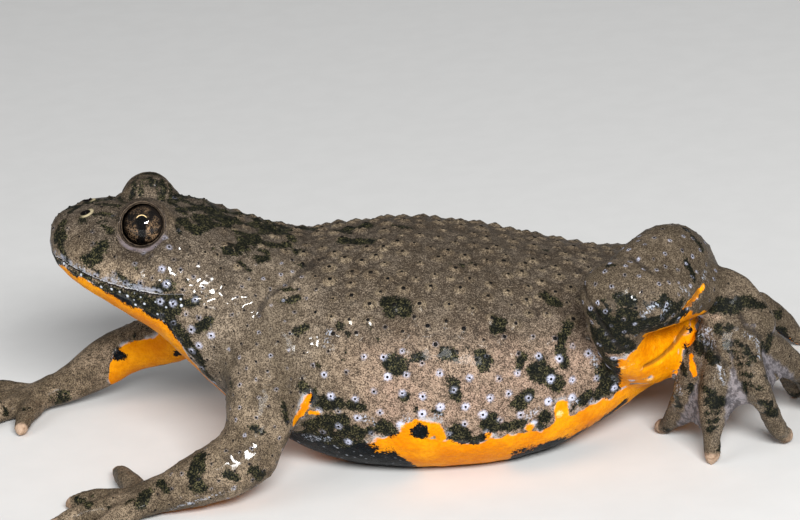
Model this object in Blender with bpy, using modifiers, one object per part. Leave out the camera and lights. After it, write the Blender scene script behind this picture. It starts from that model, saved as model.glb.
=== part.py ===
"""A yellow-bellied fire-bellied toad, life size, as a still model: belly, hands and toes rest on one floor.

Lengths are in millimetres until they reach a mesh. The snout points to -X, the animal's left side to -Y and
+Z is up. The origin is the middle of the flat of the belly, on the floor. The flesh is modelled whole, from
lofts and tubes fused by a voxel remesh, and is then parted along its limbs by thin cuts.
"""

import math
from collections import namedtuple

import bmesh
import bpy
import numpy as np
from mathutils import Vector
from mathutils.bvhtree import BVHTree
from mathutils.kdtree import KDTree

MM = 0.001
GAP = 0.3  # between two nodes that touch
FLOOR = 0.0

Station = namedtuple("Station", "x top bottom half_width widest")
Joint = namedtuple("Joint", "x y z wide high")

# The head and trunk as sections across the spine, snout first. widest is the height of the widest point.
SPINE = (
    Station(-25.7, 17.5, 17.3, 0.05, 17.4),
    Station(-25.4, 18.8, 16.1, 2.0, 17.2),
    Station(-24.5, 19.5, 15.2, 3.5, 16.9),
    Station(-22.7, 19.9, 13.9, 5.1, 16.5),
    Station(-20.4, 19.85, 12.4, 6.4, 15.9),
    Station(-18.0, 19.7, 10.6, 7.3, 15.0),
    Station(-16.2, 19.5, 8.4, 7.9, 13.9),
    Station(-14.4, 19.0, 6.2, 8.4, 12.7),
    Station(-11.8, 17.7, 3.6, 8.9, 11.2),
    Station(-9.0, 16.5, 1.6, 9.7, 9.7),
    Station(-6.5, 15.9, 0.3, 10.6, 8.6),
    Station(-3.0, 15.9, -0.5, 11.7, 7.7),
    Station(1.0, 15.9, -0.7, 12.4, 7.2),
    Station(5.8, 14.9, -0.7, 12.3, 6.9),
    Station(10.0, 13.7, -0.2, 11.2, 6.9),
    Station(13.5, 12.8, 1.1, 9.7, 7.4),
    Station(17.0, 11.8, 3.0, 8.0, 8.0),
    Station(20.0, 10.9, 4.6, 6.1, 8.2),
    Station(22.4, 10.0, 6.0, 3.4, 8.1),
    Station(23.6, 8.3, 7.9, 0.05, 8.1),
)
BACK_SQUARENESS = 2.15
BELLY_SQUARENESS = 2.7

# Each limb from its root inside the body outwards, as oval sections along its bone.
LIMBS = {
    "upper_arm_left": (
        Joint(-9.6, -5.4, 11.8, 3.0, 3.4),
        Joint(-10.3, -8.0, 9.0, 3.0, 3.2),
        Joint(-10.9, -10.2, 6.2, 2.6, 2.7),
        Joint(-11.8, -11.6, 4.3, 2.1, 2.2),
    ),
    "forearm_left": (
        Joint(-11.9, -11.8, 3.9, 2.1, 2.2),
        Joint(-13.9, -12.2, 3.2, 2.4, 2.2),
        Joint(-16.4, -12.3, 2.3, 2.0, 1.8),
        Joint(-18.6, -12.2, 1.6, 1.6, 1.3),
    ),
    "upper_arm_right": (
        Joint(-9.6, 5.4, 11.8, 3.0, 3.4),
        Joint(-13.6, 7.6, 8.5, 2.7, 2.8),
        Joint(-17.8, 9.6, 5.7, 2.2, 2.2),
        Joint(-21.4, 10.9, 4.4, 1.9, 1.9),
    ),
    "forearm_right": (
        Joint(-21.6, 11.0, 4.3, 1.9, 1.9),
        Joint(-23.7, 11.0, 3.3, 2.0, 1.9),
        Joint(-25.9, 10.7, 2.2, 1.8, 1.5),
        Joint(-27.8, 10.3, 1.5, 1.5, 1.2),
    ),
    "thigh_left": (
        Joint(20.7, -3.0, 10.8, 3.0, 3.1),
        Joint(19.6, -6.6, 13.8, 3.0, 3.2),
        Joint(17.9, -9.0, 14.4, 2.7, 2.8),
        Joint(16.2, -10.8, 14.0, 2.5, 2.5),
    ),
    "shank_left": (
        Joint(15.1, -12.3, 14.0, 2.6, 2.7),
        Joint(17.0, -12.0, 13.4, 2.7, 2.4),
        Joint(19.2, -10.4, 13.0, 2.3, 2.1),
        Joint(21.4, -7.6, 12.3, 1.9, 1.9),
    ),
    "thigh_right": (
        Joint(20.4, 2.8, 8.6, 3.2, 3.1),
        Joint(18.4, 6.8, 7.6, 3.2, 3.1),
        Joint(16.2, 10.0, 7.0, 2.9, 2.9),
        Joint(14.6, 12.2, 6.6, 2.5, 2.6),
    ),
    "shank_right": (
        Joint(14.2, 13.2, 5.8, 2.5, 2.6),
        Joint(16.8, 12.4, 5.6, 2.8, 2.6),
        Joint(19.8, 9.8, 6.2, 2.4, 2.2),
        Joint(22.4, 7.6, 6.9, 1.8, 1.8),
    ),
}
# Flesh between the limbs and the trunk: the groin with the fold from the knee, which stays with the torso.
GROINS = {
    "groin_left": (
        Joint(14.9, -11.8, 11.9, 2.2, 2.3),
        Joint(15.6, -10.2, 9.7, 1.8, 2.3),
        Joint(17.6, -7.4, 8.0, 2.2, 2.8),
        Joint(20.4, -4.2, 8.3, 2.1, 2.8),
    ),
    "groin_right": (
        Joint(15.0, 10.0, 5.6, 1.6, 2.0),
        Joint(16.2, 8.0, 5.6, 1.9, 2.4),
        Joint(18.2, 6.0, 6.2, 2.3, 2.6),
        Joint(20.6, 4.0, 7.4, 2.1, 2.4),
    ),
}
# The order in which limbs are cut free: what lies outermost goes first.
CUT_ORDER = ("shank", "thigh", "forearm", "upper_arm")

# Palm and tarsus, as a bone from the wrist or ankle on.
PALMS = {
    "hand_left": (
        Joint(-18.2, -12.2, 1.8, 1.6, 1.3),
        Joint(-19.9, -12.0, 1.2, 2.1, 1.1),
        Joint(-21.2, -11.8, 0.9, 1.9, 0.9),
    ),
    "hand_right": (
        Joint(-27.8, 10.3, 1.7, 1.5, 1.2),
        Joint(-29.2, 10.2, 1.2, 2.0, 1.0),
        Joint(-30.4, 10.2, 0.85, 1.8, 0.85),
    ),
    "foot_left": (
        Joint(22.0, -6.8, 12.1, 1.8, 1.8),
        Joint(23.3, -7.3, 11.1, 2.3, 1.6),
        Joint(23.9, -7.9, 9.8, 2.7, 1.4),
        Joint(24.2, -8.4, 8.8, 2.9, 1.15),
    ),
    "foot_right": (
        Joint(22.7, 8.0, 6.8, 1.8, 1.8),
        Joint(24.0, 8.7, 5.8, 2.1, 1.6),
        Joint(24.8, 9.4, 4.6, 2.5, 1.4),
        Joint(25.0, 10.2, 3.6, 2.7, 1.1),
    ),
}
# The way across each palm or foot.
ACROSS = {"hand_left": (0, 1, 0), "hand_right": (0, 1, 0), "foot_left": (1, 0.1, 0), "foot_right": (1, 0.25, 0)}
# Digits, first finger or toe first: where each leaves the palm, its knuckle and its tip on the floor.
DIGITS = {
    "hand_left": (
        ((-20.2, -10.6, 1.0), (-21.3, -7.6, 1.0), (-22.1, -4.8, 0.55)),
        ((-21.2, -11.4, 1.0), (-23.4, -10.8, 1.05), (-25.4, -10.0, 0.55)),
        ((-21.4, -12.3, 1.0), (-24.0, -13.2, 1.05), (-26.4, -14.0, 0.55)),
        ((-20.6, -13.2, 1.0), (-22.2, -15.0, 1.0), (-23.6, -16.6, 0.55)),
    ),
    "hand_right": (
        ((-29.3, 9.0, 1.0), (-29.8, 7.0, 1.0), (-30.1, 5.2, 0.55)),
        ((-30.2, 9.6, 0.95), (-31.8, 8.2, 1.0), (-33.2, 7.0, 0.55)),
        ((-30.6, 10.4, 0.95), (-32.8, 10.2, 1.0), (-35.0, 10.0, 0.55)),
        ((-30.0, 11.4, 0.95), (-31.8, 12.8, 1.0), (-33.2, 14.2, 0.55)),
    ),
    "foot_left": (
        ((22.4, -7.9, 9.2), (20.3, -8.2, 5.4), (18.3, -4.6, 0.5)),
        ((23.0, -8.4, 9.0), (21.6, -10.5, 4.7), (21.4, -11.2, 0.55)),
        ((24.0, -8.1, 9.4), (24.9, -10.8, 5.9), (27.2, -8.7, 0.65)),
        ((25.2, -8.1, 8.6), (28.2, -6.2, 5.2), (31.2, -2.6, 0.6)),
        ((25.4, -7.3, 8.8), (27.9, -3.2, 4.0), (29.2, 0.4, 0.55)),
    ),
    "foot_right": (
        ((23.7, 9.2, 4.7), (21.8, 11.0, 2.6), (20.0, 12.2, 0.55)),
        ((24.2, 10.2, 4.3), (22.8, 13.0, 2.5), (21.4, 15.0, 0.55)),
        ((25.2, 10.8, 4.1), (25.4, 14.2, 2.4), (25.0, 17.4, 0.6)),
        ((26.4, 10.4, 4.2), (28.0, 13.0, 2.5), (29.2, 15.6, 0.6)),
        ((27.2, 9.4, 4.4), (29.2, 10.2, 2.5), (31.0, 10.8, 0.55)),
    ),
}
DIGIT_RADIUS = {"hand": (0.95, 0.78, 0.58), "foot": (1.2, 0.82, 0.62)}
# How far the web between two neighbours reaches along either, from 0 at the palm to 1 at the tip.
WEB_REACH = {
    "hand": ((0.24, 0.24), (0.22, 0.22), (0.24, 0.24)),
    "foot": ((0.92, 0.66), (0.72, 0.5), (0.5, 0.55), (0.7, 0.7)),
}
WEB_HOLLOW = 0.28
WEB_THICKNESS = 0.6

EYE = Vector((-18.3, 2.85, 18.95))
EYE_RADIUS = 1.75
EYE_GAP = 0.1
LID_RADIUS = 2.15
APERTURE = 1.78  # radius of the opening between the lids
GAZE = Vector((-0.14, 0.9, 0.36)).normalized()

# The line between the lips on the left side, from the tip of the snout to the corner of the mouth.
MOUTH = ((-25.7, 0.0, 17.2), (-24.7, 3.1, 16.9), (-22.7, 5.1, 16.2), (-20.4, 6.4, 15.6), (-17.7, 7.3, 15.1))
LIP_GROOVE = 0.25
NOSTRIL = Vector((-22.7, 1.55, 19.8))
NOSTRIL_RADIUS = 0.38
NOSTRIL_WAY = Vector((-0.25, 0.62, 0.75)).normalized()

WART_SPACING = 2.15
WART_HEIGHT = 0.34
WART_RADIUS = 0.95
WARTS_FROM, WARTS_TO = -14.5, 21.5  # along the spine
WART_SEED = 12

VOXEL = 0.3
CREASE_ROUNDS = 6  # how far the creases between trunk and limbs are smoothed
FACES_KEPT = 7000
SLEEVE_FACES = 1000
SLEEVE = 0.65  # how much wider than its limb the sleeve is that cuts it free
NECK_CUT = (Vector((-12.6, 0.0, 12.0)), math.radians(-14))

SKIN_BROWN = (0.27, 0.21, 0.15, 1.0)
EYE_BLACK = (0.02, 0.015, 0.012, 1.0)


def clear_scene():
    for obj in list(bpy.data.objects):
        bpy.data.objects.remove(obj)


def collection(name):
    made = bpy.data.collections.new(name)
    bpy.context.scene.collection.children.link(made)
    return made


def material(name, colour, roughness):
    made = bpy.data.materials.new(name)
    made.use_nodes = True
    shader = made.node_tree.nodes["Principled BSDF"]
    shader.inputs["Base Color"].default_value = colour
    shader.inputs["Roughness"].default_value = roughness
    shader.inputs["Metallic"].default_value = 0.0
    return made


def spline(rows, per_span):
    """A smooth curve through rows of numbers, with per_span steps from each row to the next."""
    rows = np.array(rows, float)
    ends = np.vstack([2 * rows[0] - rows[1], rows, 2 * rows[-1] - rows[-2]])
    t = np.linspace(0, 1, per_span, endpoint=False)[:, None]
    spans = [
        0.5 * (2 * b + (c - a) * t + (2 * a - 5 * b + 4 * c - d) * t**2 + (3 * b - a - 3 * c + d) * t**3)
        for a, b, c, d in zip(ends[:-3], ends[1:-2], ends[2:-1], ends[3:])
    ]
    return np.vstack([*spans, rows[-1:]])


def signed_power(values, power):
    return np.sign(values) * np.abs(values) ** power


def loft(name, rings, into):
    """A closed mesh through rings of points, its two ends closed by one point each."""
    count = len(rings[0])
    points = [p for ring in rings for p in ring] + [np.mean(rings[0], 0), np.mean(rings[-1], 0)]
    faces = []
    for r in range(len(rings) - 1):
        for k in range(count):
            n = (k + 1) % count
            faces.append((r * count + k, r * count + n, (r + 1) * count + n, (r + 1) * count + k))
    last = (len(rings) - 1) * count
    faces += [((k + 1) % count, k, len(points) - 2) for k in range(count)]
    faces += [(last + k, last + (k + 1) % count, len(points) - 1) for k in range(count)]
    mesh = bpy.data.meshes.new(name)
    mesh.from_pydata([tuple(np.array(p) * MM) for p in points], [], faces)
    made = bpy.data.objects.new(name, mesh)
    into.objects.link(made)
    facing_out(mesh)
    return made


def facing_out(mesh):
    bm = bmesh.new()
    bm.from_mesh(mesh)
    bmesh.ops.recalc_face_normals(bm, faces=bm.faces)
    bm.to_mesh(mesh)
    bm.free()


def trunk(into):
    """Head and trunk: rounded sections, squarer below, where the belly sags on the floor."""
    angles = np.linspace(0, 2 * math.pi, 48, endpoint=False)
    rings = []
    for x, top, bottom, half_width, widest in spline(SPINE, 6):
        across = np.where(
            np.sin(angles) >= 0,
            signed_power(np.cos(angles), 2 / BACK_SQUARENESS),
            signed_power(np.cos(angles), 2 / BELLY_SQUARENESS),
        )
        up = np.where(
            np.sin(angles) >= 0,
            (top - widest) * signed_power(np.sin(angles), 2 / BACK_SQUARENESS),
            (widest - bottom) * signed_power(np.sin(angles), 2 / BELLY_SQUARENESS),
        )
        rings.append(np.stack([np.full(len(angles), x), half_width * across, widest + up], axis=1))
    return loft("trunk", rings, into)


def limb(name, joints, into, grow=0.0, sides=20, per_span=4, across=None):
    """An oval limb along its joints with round ends. grow makes it thicker all round."""
    rows = spline(joints, per_span)
    along = np.gradient(rows[:, :3], axis=0)
    along /= np.linalg.norm(along, axis=1)[:, None]
    angles = np.linspace(0, 2 * math.pi, sides, endpoint=False)
    rings = []

    def ring(middle, way, wide, high):
        side = np.cross(way, (0.0, 0.0, 1.0)) if across is None else np.array(across) - way * np.dot(across, way)
        side /= np.linalg.norm(side)
        up = np.cross(side, way)
        rings.append(middle + np.outer(np.cos(angles) * wide, side) + np.outer(np.sin(angles) * high, up))

    def dome(row, way, steps):
        wide, high = row[3] + grow, row[4] + grow
        for turn in steps:
            ring(row[:3] + way * high * math.sin(turn), way, wide * math.cos(turn), high * math.cos(turn))

    quarter = [math.radians(a) for a in (30, 60, 80)]
    dome(rows[0], along[0], [-turn for turn in reversed(quarter)])
    for row, way in zip(rows, along):
        ring(row[:3], way, row[3] + grow, row[4] + grow)
    dome(rows[-1], along[-1], quarter)
    return loft(name, rings, into)


def digit_path(points):
    """A digit's centreline, which bends down at the knuckle so that its last stretch lies flatter."""
    root, knuckle, tip = (np.array(p) for p in points)
    rest = knuckle * 0.35 + tip * 0.65
    rest[2] = tip[2] + 0.12 + 0.5 * (rest[2] - tip[2])
    return spline([root, knuckle, rest, tip], 5)


def digit(name, points, radii, into):
    """A finger or toe: a tapering curve with a slightly swollen, round tip."""
    path = digit_path(points)
    share = np.linspace(0, 1, len(path))
    thickness = np.interp(share, (0, 0.5, 0.84, 1), (radii[0], radii[1], radii[2], radii[2] * 1.12))
    out = path[-1] - path[-2]
    out /= np.linalg.norm(out)
    for turn in (35, 60, 80):
        path = np.vstack([path, path[-1] + out * radii[2] * 0.4])
        thickness = np.append(thickness, radii[2] * math.cos(math.radians(turn)))
    data = bpy.data.curves.new(name, "CURVE")
    data.dimensions = "3D"
    data.bevel_depth = MM
    data.bevel_resolution = 3
    data.use_fill_caps = True
    line = data.splines.new("POLY")
    line.points.add(len(path) - 1)
    for point, place, radius in zip(line.points, path, thickness):
        point.co = (*(place * MM), 1.0)
        point.radius = radius
    made = bpy.data.objects.new(name, data)
    into.objects.link(made)
    return made


def web(name, first, second, reach, into, grow=0.0):
    """The skin between two digits: a sheet from one centreline to the other, with a hollow free edge."""
    near, far = digit_path(first), digit_path(second)
    across = np.linspace(0, 1, 9)
    rows = []
    for share in np.linspace(0, 1, 9):
        line = []
        for a in across:
            hollow = 1 - WEB_HOLLOW * math.sin(math.pi * a)
            at = share * (reach[0] * (1 - a) + reach[1] * a) * hollow * (len(near) - 1)
            low = min(int(at), len(near) - 2)
            one = near[low] + (near[low + 1] - near[low]) * (at - low)
            two = far[low] + (far[low + 1] - far[low]) * (at - low)
            line.append(one * (1 - a) + two * a)
        rows.append(line)
    bm = bmesh.new()
    grid = [[bm.verts.new(tuple(p * MM)) for p in line] for line in rows]
    for r in range(len(grid) - 1):
        for c in range(len(across) - 1):
            bm.faces.new((grid[r][c], grid[r][c + 1], grid[r + 1][c + 1], grid[r + 1][c]))
    mesh = bpy.data.meshes.new(name)
    bm.to_mesh(mesh)
    bm.free()
    made = bpy.data.objects.new(name, mesh)
    into.objects.link(made)
    skin = made.modifiers.new("thickness", "SOLIDIFY")
    skin.thickness = (WEB_THICKNESS + 2 * grow) * MM
    skin.offset = 0.0
    return made


def hand_or_foot(name, into, grow=0.0):
    """The overlapping pieces of one hand or foot. grow makes it thicker all round."""
    kind = name.split("_")[0]
    digits = DIGITS[name]
    radii = [radius + grow for radius in DIGIT_RADIUS[kind]]
    pieces = [limb(f"{name}_palm", PALMS[name], into, grow, across=ACROSS[name])]
    for k, points in enumerate(digits):
        pieces.append(digit(f"{name}_digit_{k}", points, radii, into))
    for k, (first, second) in enumerate(zip(digits, digits[1:])):
        pieces.append(web(f"{name}_web_{k}", first, second, WEB_REACH[kind][k], into, grow))
    return pieces


def ball(name, centre, radius, into, segments=32):
    mesh = bpy.data.meshes.new(name)
    bm = bmesh.new()
    bmesh.ops.create_uvsphere(bm, u_segments=segments, v_segments=segments // 2, radius=radius * MM)
    bm.to_mesh(mesh)
    bm.free()
    made = bpy.data.objects.new(name, mesh)
    made.location = Vector(centre) * MM
    into.objects.link(made)
    return made


def peg(name, foot, way, radius, end_radius, length, into):
    """A round peg or cone from foot along way."""
    mesh = bpy.data.meshes.new(name)
    bm = bmesh.new()
    bmesh.ops.create_cone(
        bm, cap_ends=True, segments=32, radius1=radius * MM, radius2=end_radius * MM, depth=length * MM
    )
    bm.to_mesh(mesh)
    bm.free()
    made = bpy.data.objects.new(name, mesh)
    made.location = (Vector(foot) + Vector(way) * length / 2) * MM
    made.rotation_mode = "QUATERNION"
    made.rotation_quaternion = Vector(way).to_track_quat("Z", "Y")
    into.objects.link(made)
    return made


def block(name, centre, size, into, turn_y=0.0):
    mesh = bpy.data.meshes.new(name)
    bm = bmesh.new()
    bmesh.ops.create_cube(bm, size=1.0)
    bmesh.ops.scale(bm, vec=Vector(size) * MM, verts=bm.verts)
    bm.to_mesh(mesh)
    bm.free()
    made = bpy.data.objects.new(name, mesh)
    made.location = Vector(centre) * MM
    made.rotation_euler = (0.0, turn_y, 0.0)
    into.objects.link(made)
    return made


def settled(obj):
    """Applies what an object's modifiers and placing do, as a plain mesh object of the same name."""
    bpy.context.view_layer.update()
    graph = bpy.context.evaluated_depsgraph_get()
    mesh = bpy.data.meshes.new_from_object(obj.evaluated_get(graph))
    mesh.transform(obj.matrix_world)
    name, homes = obj.name, list(obj.users_collection)
    bpy.data.objects.remove(obj)
    made = bpy.data.objects.new(name, mesh)
    for home in homes:
        home.objects.link(made)
    return made


def fused(name, pieces, voxel, rounds, into):
    """One closed skin over overlapping pieces: a voxel remesh, then rounds of smoothing over its creases."""
    bm = bmesh.new()
    for piece in pieces:
        piece = settled(piece)
        bm.from_mesh(piece.data)
        bpy.data.objects.remove(piece)
    bmesh.ops.remove_doubles(bm, verts=bm.verts, dist=1e-7)
    mesh = bpy.data.meshes.new(name)
    bm.to_mesh(mesh)
    bm.free()
    made = bpy.data.objects.new(name, mesh)
    into.objects.link(made)
    remesh = made.modifiers.new("remesh", "REMESH")
    remesh.mode = "VOXEL"
    remesh.voxel_size = voxel * MM
    smooth = made.modifiers.new("smooth", "SMOOTH")
    smooth.factor = 0.5
    smooth.iterations = rounds
    return settled(made)


def boolean(target, other, operation):
    """Cuts or joins with MANIFOLD, because the flesh has too many faces for EXACT to be quick."""
    step = target.modifiers.new(operation.lower(), "BOOLEAN")
    step.operation = operation
    step.solver = "MANIFOLD"
    step.object = other
    return settled(target)


def largest(obj):
    """Keeps only the largest closed surface of an object."""
    bm = bmesh.new()
    bm.from_mesh(obj.data)
    unseen, groups = set(bm.verts), []
    while unseen:
        group, edge = [], [unseen.pop()]
        while edge:
            vert = edge.pop()
            group.append(vert)
            for link in vert.link_edges:
                other = link.other_vert(vert)
                if other in unseen:
                    unseen.remove(other)
                    edge.append(other)
        groups.append(group)
    groups.sort(key=len)
    bmesh.ops.delete(bm, geom=[v for group in groups[:-1] for v in group], context="VERTS")
    bm.to_mesh(obj.data)
    bm.free()
    return obj


def copy_of(obj, name, into):
    made = bpy.data.objects.new(name, obj.data.copy())
    into.objects.link(made)
    return made


def on_skin(tree, place):
    """The point of the flesh nearest to a place, and the way out of it there."""
    spot, normal, _, _ = tree.find_nearest(Vector(place) * MM)
    return spot / MM, normal


def skin_tree(obj):
    return BVHTree.FromPolygons([v.co for v in obj.data.vertices], [p.vertices for p in obj.data.polygons])


def mirrored(vector):
    return Vector((vector[0], -vector[1], vector[2]))


def wart_places(tree):
    """Rows of warts over the back and flanks, each row a ring round the trunk, shifted and jittered by a seed."""
    draw = np.random.default_rng(WART_SEED)
    stations = spline(SPINE, 6)
    places = []
    for row, x in enumerate(np.arange(WARTS_FROM, WARTS_TO, WART_SPACING * 0.87)):
        _, top, _, half_width, widest = (np.interp(x, stations[:, 0], stations[:, k]) for k in range(5))
        arc = math.pi * math.sqrt((half_width**2 + (top - widest) ** 2) / 2)
        count = max(3, round(arc / WART_SPACING))
        for k in range(count):
            turn = math.pi * (k + 0.5 * (row % 2) + 0.25) / count
            x_here = x + draw.uniform(-0.45, 0.45)
            turn += draw.uniform(-0.35, 0.35) * WART_SPACING / half_width
            aim = (x_here, half_width * math.cos(turn), widest + (top - widest) * math.sin(turn))
            places.append((on_skin(tree, aim)[0], draw.uniform(0.6, 1.0)))
    return places


def raise_warts(obj):
    """Lifts the skin into a low rounded wart at each place."""
    places = wart_places(skin_tree(obj))
    near = KDTree(len(places))
    for k, (place, _) in enumerate(places):
        near.insert(place * MM, k)
    near.balance()
    obj.data.update()
    lifts = []
    for vert in obj.data.vertices:
        _, k, distance = near.find(vert.co)
        size = places[k][1]
        share = distance / (WART_RADIUS * size * MM)
        lifts.append(WART_HEIGHT * size * (1 - share**2) ** 2 * MM if share < 1 else 0.0)
    for vert, normal, lift in zip(obj.data.vertices, [v.normal.copy() for v in obj.data.vertices], lifts):
        vert.co += normal * lift


def flesh(into, warty=True):
    """The whole toad as one closed skin, before the mouth, nostrils, eyes and floor are cut."""
    core = [trunk(into)] + [limb(name, joints, into) for name, joints in {**LIMBS, **GROINS}.items()]
    core = fused("core", core, 0.42, CREASE_ROUNDS, into)
    if warty:
        raise_warts(core)
    pieces = [core]
    for name in PALMS:
        pieces += hand_or_foot(name, into)
    tree = skin_tree(core)
    for side, eye, place in (("left", mirrored(EYE), mirrored(NOSTRIL)), ("right", EYE, NOSTRIL)):
        pieces.append(ball(f"lid_{side}", eye, LID_RADIUS, into))
        spot, out = on_skin(tree, place)
        pieces.append(ball(f"nostril_rim_{side}", spot - out * 0.35, 0.66, into, 16))
    return fused("flesh", pieces, VOXEL, 3, into)


def cut_face(body, cutters):
    """The sockets of the eyes with the opening of the lids, the line of the mouth and the nostrils."""
    tree = skin_tree(body)
    for side, eye, gaze in (("left", mirrored(EYE), mirrored(GAZE)), ("right", EYE, GAZE)):
        opening = peg(f"opening_{side}", eye, gaze, 0.6, APERTURE * 1.9, 3.4, cutters)
        body = boolean(body, opening, "DIFFERENCE")
        body = boolean(body, ball(f"socket_{side}", eye, EYE_RADIUS + EYE_GAP, cutters), "DIFFERENCE")
        place, way = (NOSTRIL, NOSTRIL_WAY) if side == "right" else (mirrored(NOSTRIL), mirrored(NOSTRIL_WAY))
        spot, _ = on_skin(tree, place)
        hole = peg(f"nostril_{side}", spot - way * 0.7, way, NOSTRIL_RADIUS * 0.7, NOSTRIL_RADIUS, 1.4, cutters)
        body = boolean(body, hole, "DIFFERENCE")
    half = spline(MOUTH, 10)
    line = np.vstack([half[:0:-1] * (1, -1, 1), half])
    line = np.array([on_skin(tree, place)[0] for place in line])
    for _ in range(6):
        line[1:-1] = (line[:-2] + 2 * line[1:-1] + line[2:]) / 4
    groove = bpy.data.curves.new("mouth", "CURVE")
    groove.dimensions = "3D"
    groove.bevel_depth = LIP_GROOVE * MM
    groove.bevel_resolution = 2
    groove.use_fill_caps = True
    path = groove.splines.new("POLY")
    path.points.add(len(line) - 1)
    for point, place in zip(path.points, line):
        point.co = (*(place * MM), 1.0)
    mouth = bpy.data.objects.new("mouth", groove)
    cutters.objects.link(mouth)
    mouth = settled(mouth)
    weld(mouth)
    return boolean(body, mouth, "DIFFERENCE")


def weld(obj):
    bm = bmesh.new()
    bm.from_mesh(obj.data)
    bmesh.ops.remove_doubles(bm, verts=bm.verts, dist=1e-6)
    bm.to_mesh(obj.data)
    bm.free()


def cut_floor(body, cutters):
    """Presses the belly, hands and toes flat on the floor."""
    depth = 20.0
    floor = block("floor", (0, 0, FLOOR - depth / 2), (120, 120, depth), cutters)
    return boolean(body, floor, "DIFFERENCE")


def thinned(body, faces_kept):
    """Fewer, larger triangles where the skin is smooth."""
    step = body.modifiers.new("thin", "DECIMATE")
    step.ratio = faces_kept / (2 * len(body.data.polygons))
    step.use_collapse_triangulate = True
    return settled(body)


def part_limbs(body, parts, cutters):
    """Cuts each limb out of the body along a sleeve a little wider than the limb, with a thin gap."""
    made = {}
    for kind in CUT_ORDER:
        for side in ("left", "right"):
            name = f"{kind}_{side}"
            inner = limb(f"sleeve_{name}", LIMBS[name], cutters, SLEEVE, sides=12, per_span=1)
            outer = limb(f"gap_{name}", LIMBS[name], cutters, SLEEVE + GAP, sides=12, per_span=1)
            piece = boolean(copy_of(body, name, parts), inner, "INTERSECT")
            made[name] = largest(piece)
            body = boolean(body, outer, "DIFFERENCE")
    return made, body


def part_feet(body, parts, cutters):
    """Cuts each foot free where it lies against the thigh and rump, along a sleeve of its own shape."""
    made = {}
    for name in ("foot_left", "foot_right"):
        sleeves = []
        for grow in (SLEEVE, SLEEVE + GAP):
            sleeve = fused(f"sleeve_{name}", hand_or_foot(name, cutters, grow), 0.35, 1, cutters)
            sleeves.append(thinned(sleeve, SLEEVE_FACES))
        made[name] = largest(boolean(copy_of(body, name, parts), sleeves[0], "INTERSECT"))
        body = boolean(body, sleeves[1], "DIFFERENCE")
    return made, body


def loose_parts(body, anchors, parts):
    """Separates what is left into its closed surfaces, each named by the anchor nearest to its middle."""
    made = {}
    for name, anchor in anchors.items():
        piece = copy_of(body, name, parts)
        bm = bmesh.new()
        bm.from_mesh(piece.data)
        start = min(bm.verts, key=lambda v: (v.co - Vector(anchor) * MM).length)
        keep, edge = {start}, [start]
        while edge:
            for link in edge.pop().link_edges:
                for vert in link.verts:
                    if vert not in keep:
                        keep.add(vert)
                        edge.append(vert)
        bmesh.ops.delete(bm, geom=[v for v in bm.verts if v not in keep], context="VERTS")
        bm.to_mesh(piece.data)
        bm.free()
        made[name] = piece
    bpy.data.objects.remove(body)
    return made


def eyeball(side, centre, parts):
    mesh = bpy.data.meshes.new(f"eye_{side}")
    bm = bmesh.new()
    bmesh.ops.create_uvsphere(bm, u_segments=18, v_segments=10, radius=EYE_RADIUS * MM)
    bm.to_mesh(mesh)
    bm.free()
    made = bpy.data.objects.new(f"eye_{side}", mesh)
    made.location = centre * MM
    parts.objects.link(made)
    return made


def main():
    clear_scene()
    parts, cutters = collection("toad"), collection("cutters")
    skin = material("skin", SKIN_BROWN, 0.45)
    wet = material("eye", EYE_BLACK, 0.06)
    body = thinned(flesh(parts), FACES_KEPT)
    body = cut_face(body, cutters)
    body = largest(cut_floor(body, cutters))
    neck = block("neck", NECK_CUT[0], (GAP, 40, 40), cutters, turn_y=NECK_CUT[1])
    made, body = part_limbs(body, parts, cutters)
    feet, body = part_feet(body, parts, cutters)
    made.update(feet)
    body = boolean(body, neck, "DIFFERENCE")
    anchors = {name: joints[-1][:3] for name, joints in PALMS.items() if name.startswith("hand")}
    anchors["head"] = (-25.2, 0.0, 18.0)
    anchors["torso"] = (5.0, 0.0, 16.5)
    made.update(loose_parts(body, anchors, parts))
    for piece in made.values():
        piece.data.materials.clear()
        piece.data.materials.append(skin)
        piece.data.shade_smooth()
    for side, centre in (("left", mirrored(EYE)), ("right", EYE)):
        eye = eyeball(side, centre, parts)
        eye.data.materials.append(wet)
        eye.data.shade_smooth()
    for cutter in list(cutters.objects):
        bpy.data.objects.remove(cutter)


main()
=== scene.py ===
"""The looks of a yellow-bellied toad, a kind of fire-bellied toad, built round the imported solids.

One skin of flesh replaces the solids of head, trunk and limbs, so that it runs on over every cut. Its warts,
folds and mouth are raised in the mesh, and its markings are fields stored on its points, which the materials
turn into edges. Lengths are in millimetres until they reach a mesh.
"""

import math
from collections import namedtuple

import bmesh
import bpy
import numpy as np
from mathutils import Matrix, Vector
from mathutils.bvhtree import BVHTree
from mathutils.kdtree import KDTree


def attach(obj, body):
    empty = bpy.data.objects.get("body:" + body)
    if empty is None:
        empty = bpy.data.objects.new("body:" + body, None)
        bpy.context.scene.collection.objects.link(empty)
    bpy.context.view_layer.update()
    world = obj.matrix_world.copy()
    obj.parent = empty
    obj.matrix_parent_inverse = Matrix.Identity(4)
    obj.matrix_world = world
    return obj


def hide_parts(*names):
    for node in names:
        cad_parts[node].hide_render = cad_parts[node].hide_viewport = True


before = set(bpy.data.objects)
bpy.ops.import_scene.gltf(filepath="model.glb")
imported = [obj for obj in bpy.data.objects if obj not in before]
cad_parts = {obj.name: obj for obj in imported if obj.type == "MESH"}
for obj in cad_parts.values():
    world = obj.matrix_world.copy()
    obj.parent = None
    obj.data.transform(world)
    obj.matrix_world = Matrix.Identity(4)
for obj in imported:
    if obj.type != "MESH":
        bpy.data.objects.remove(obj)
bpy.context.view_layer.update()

Station = namedtuple("Station", "x top bottom half_width widest")
Joint = namedtuple("Joint", "x y z wide high")

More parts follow.
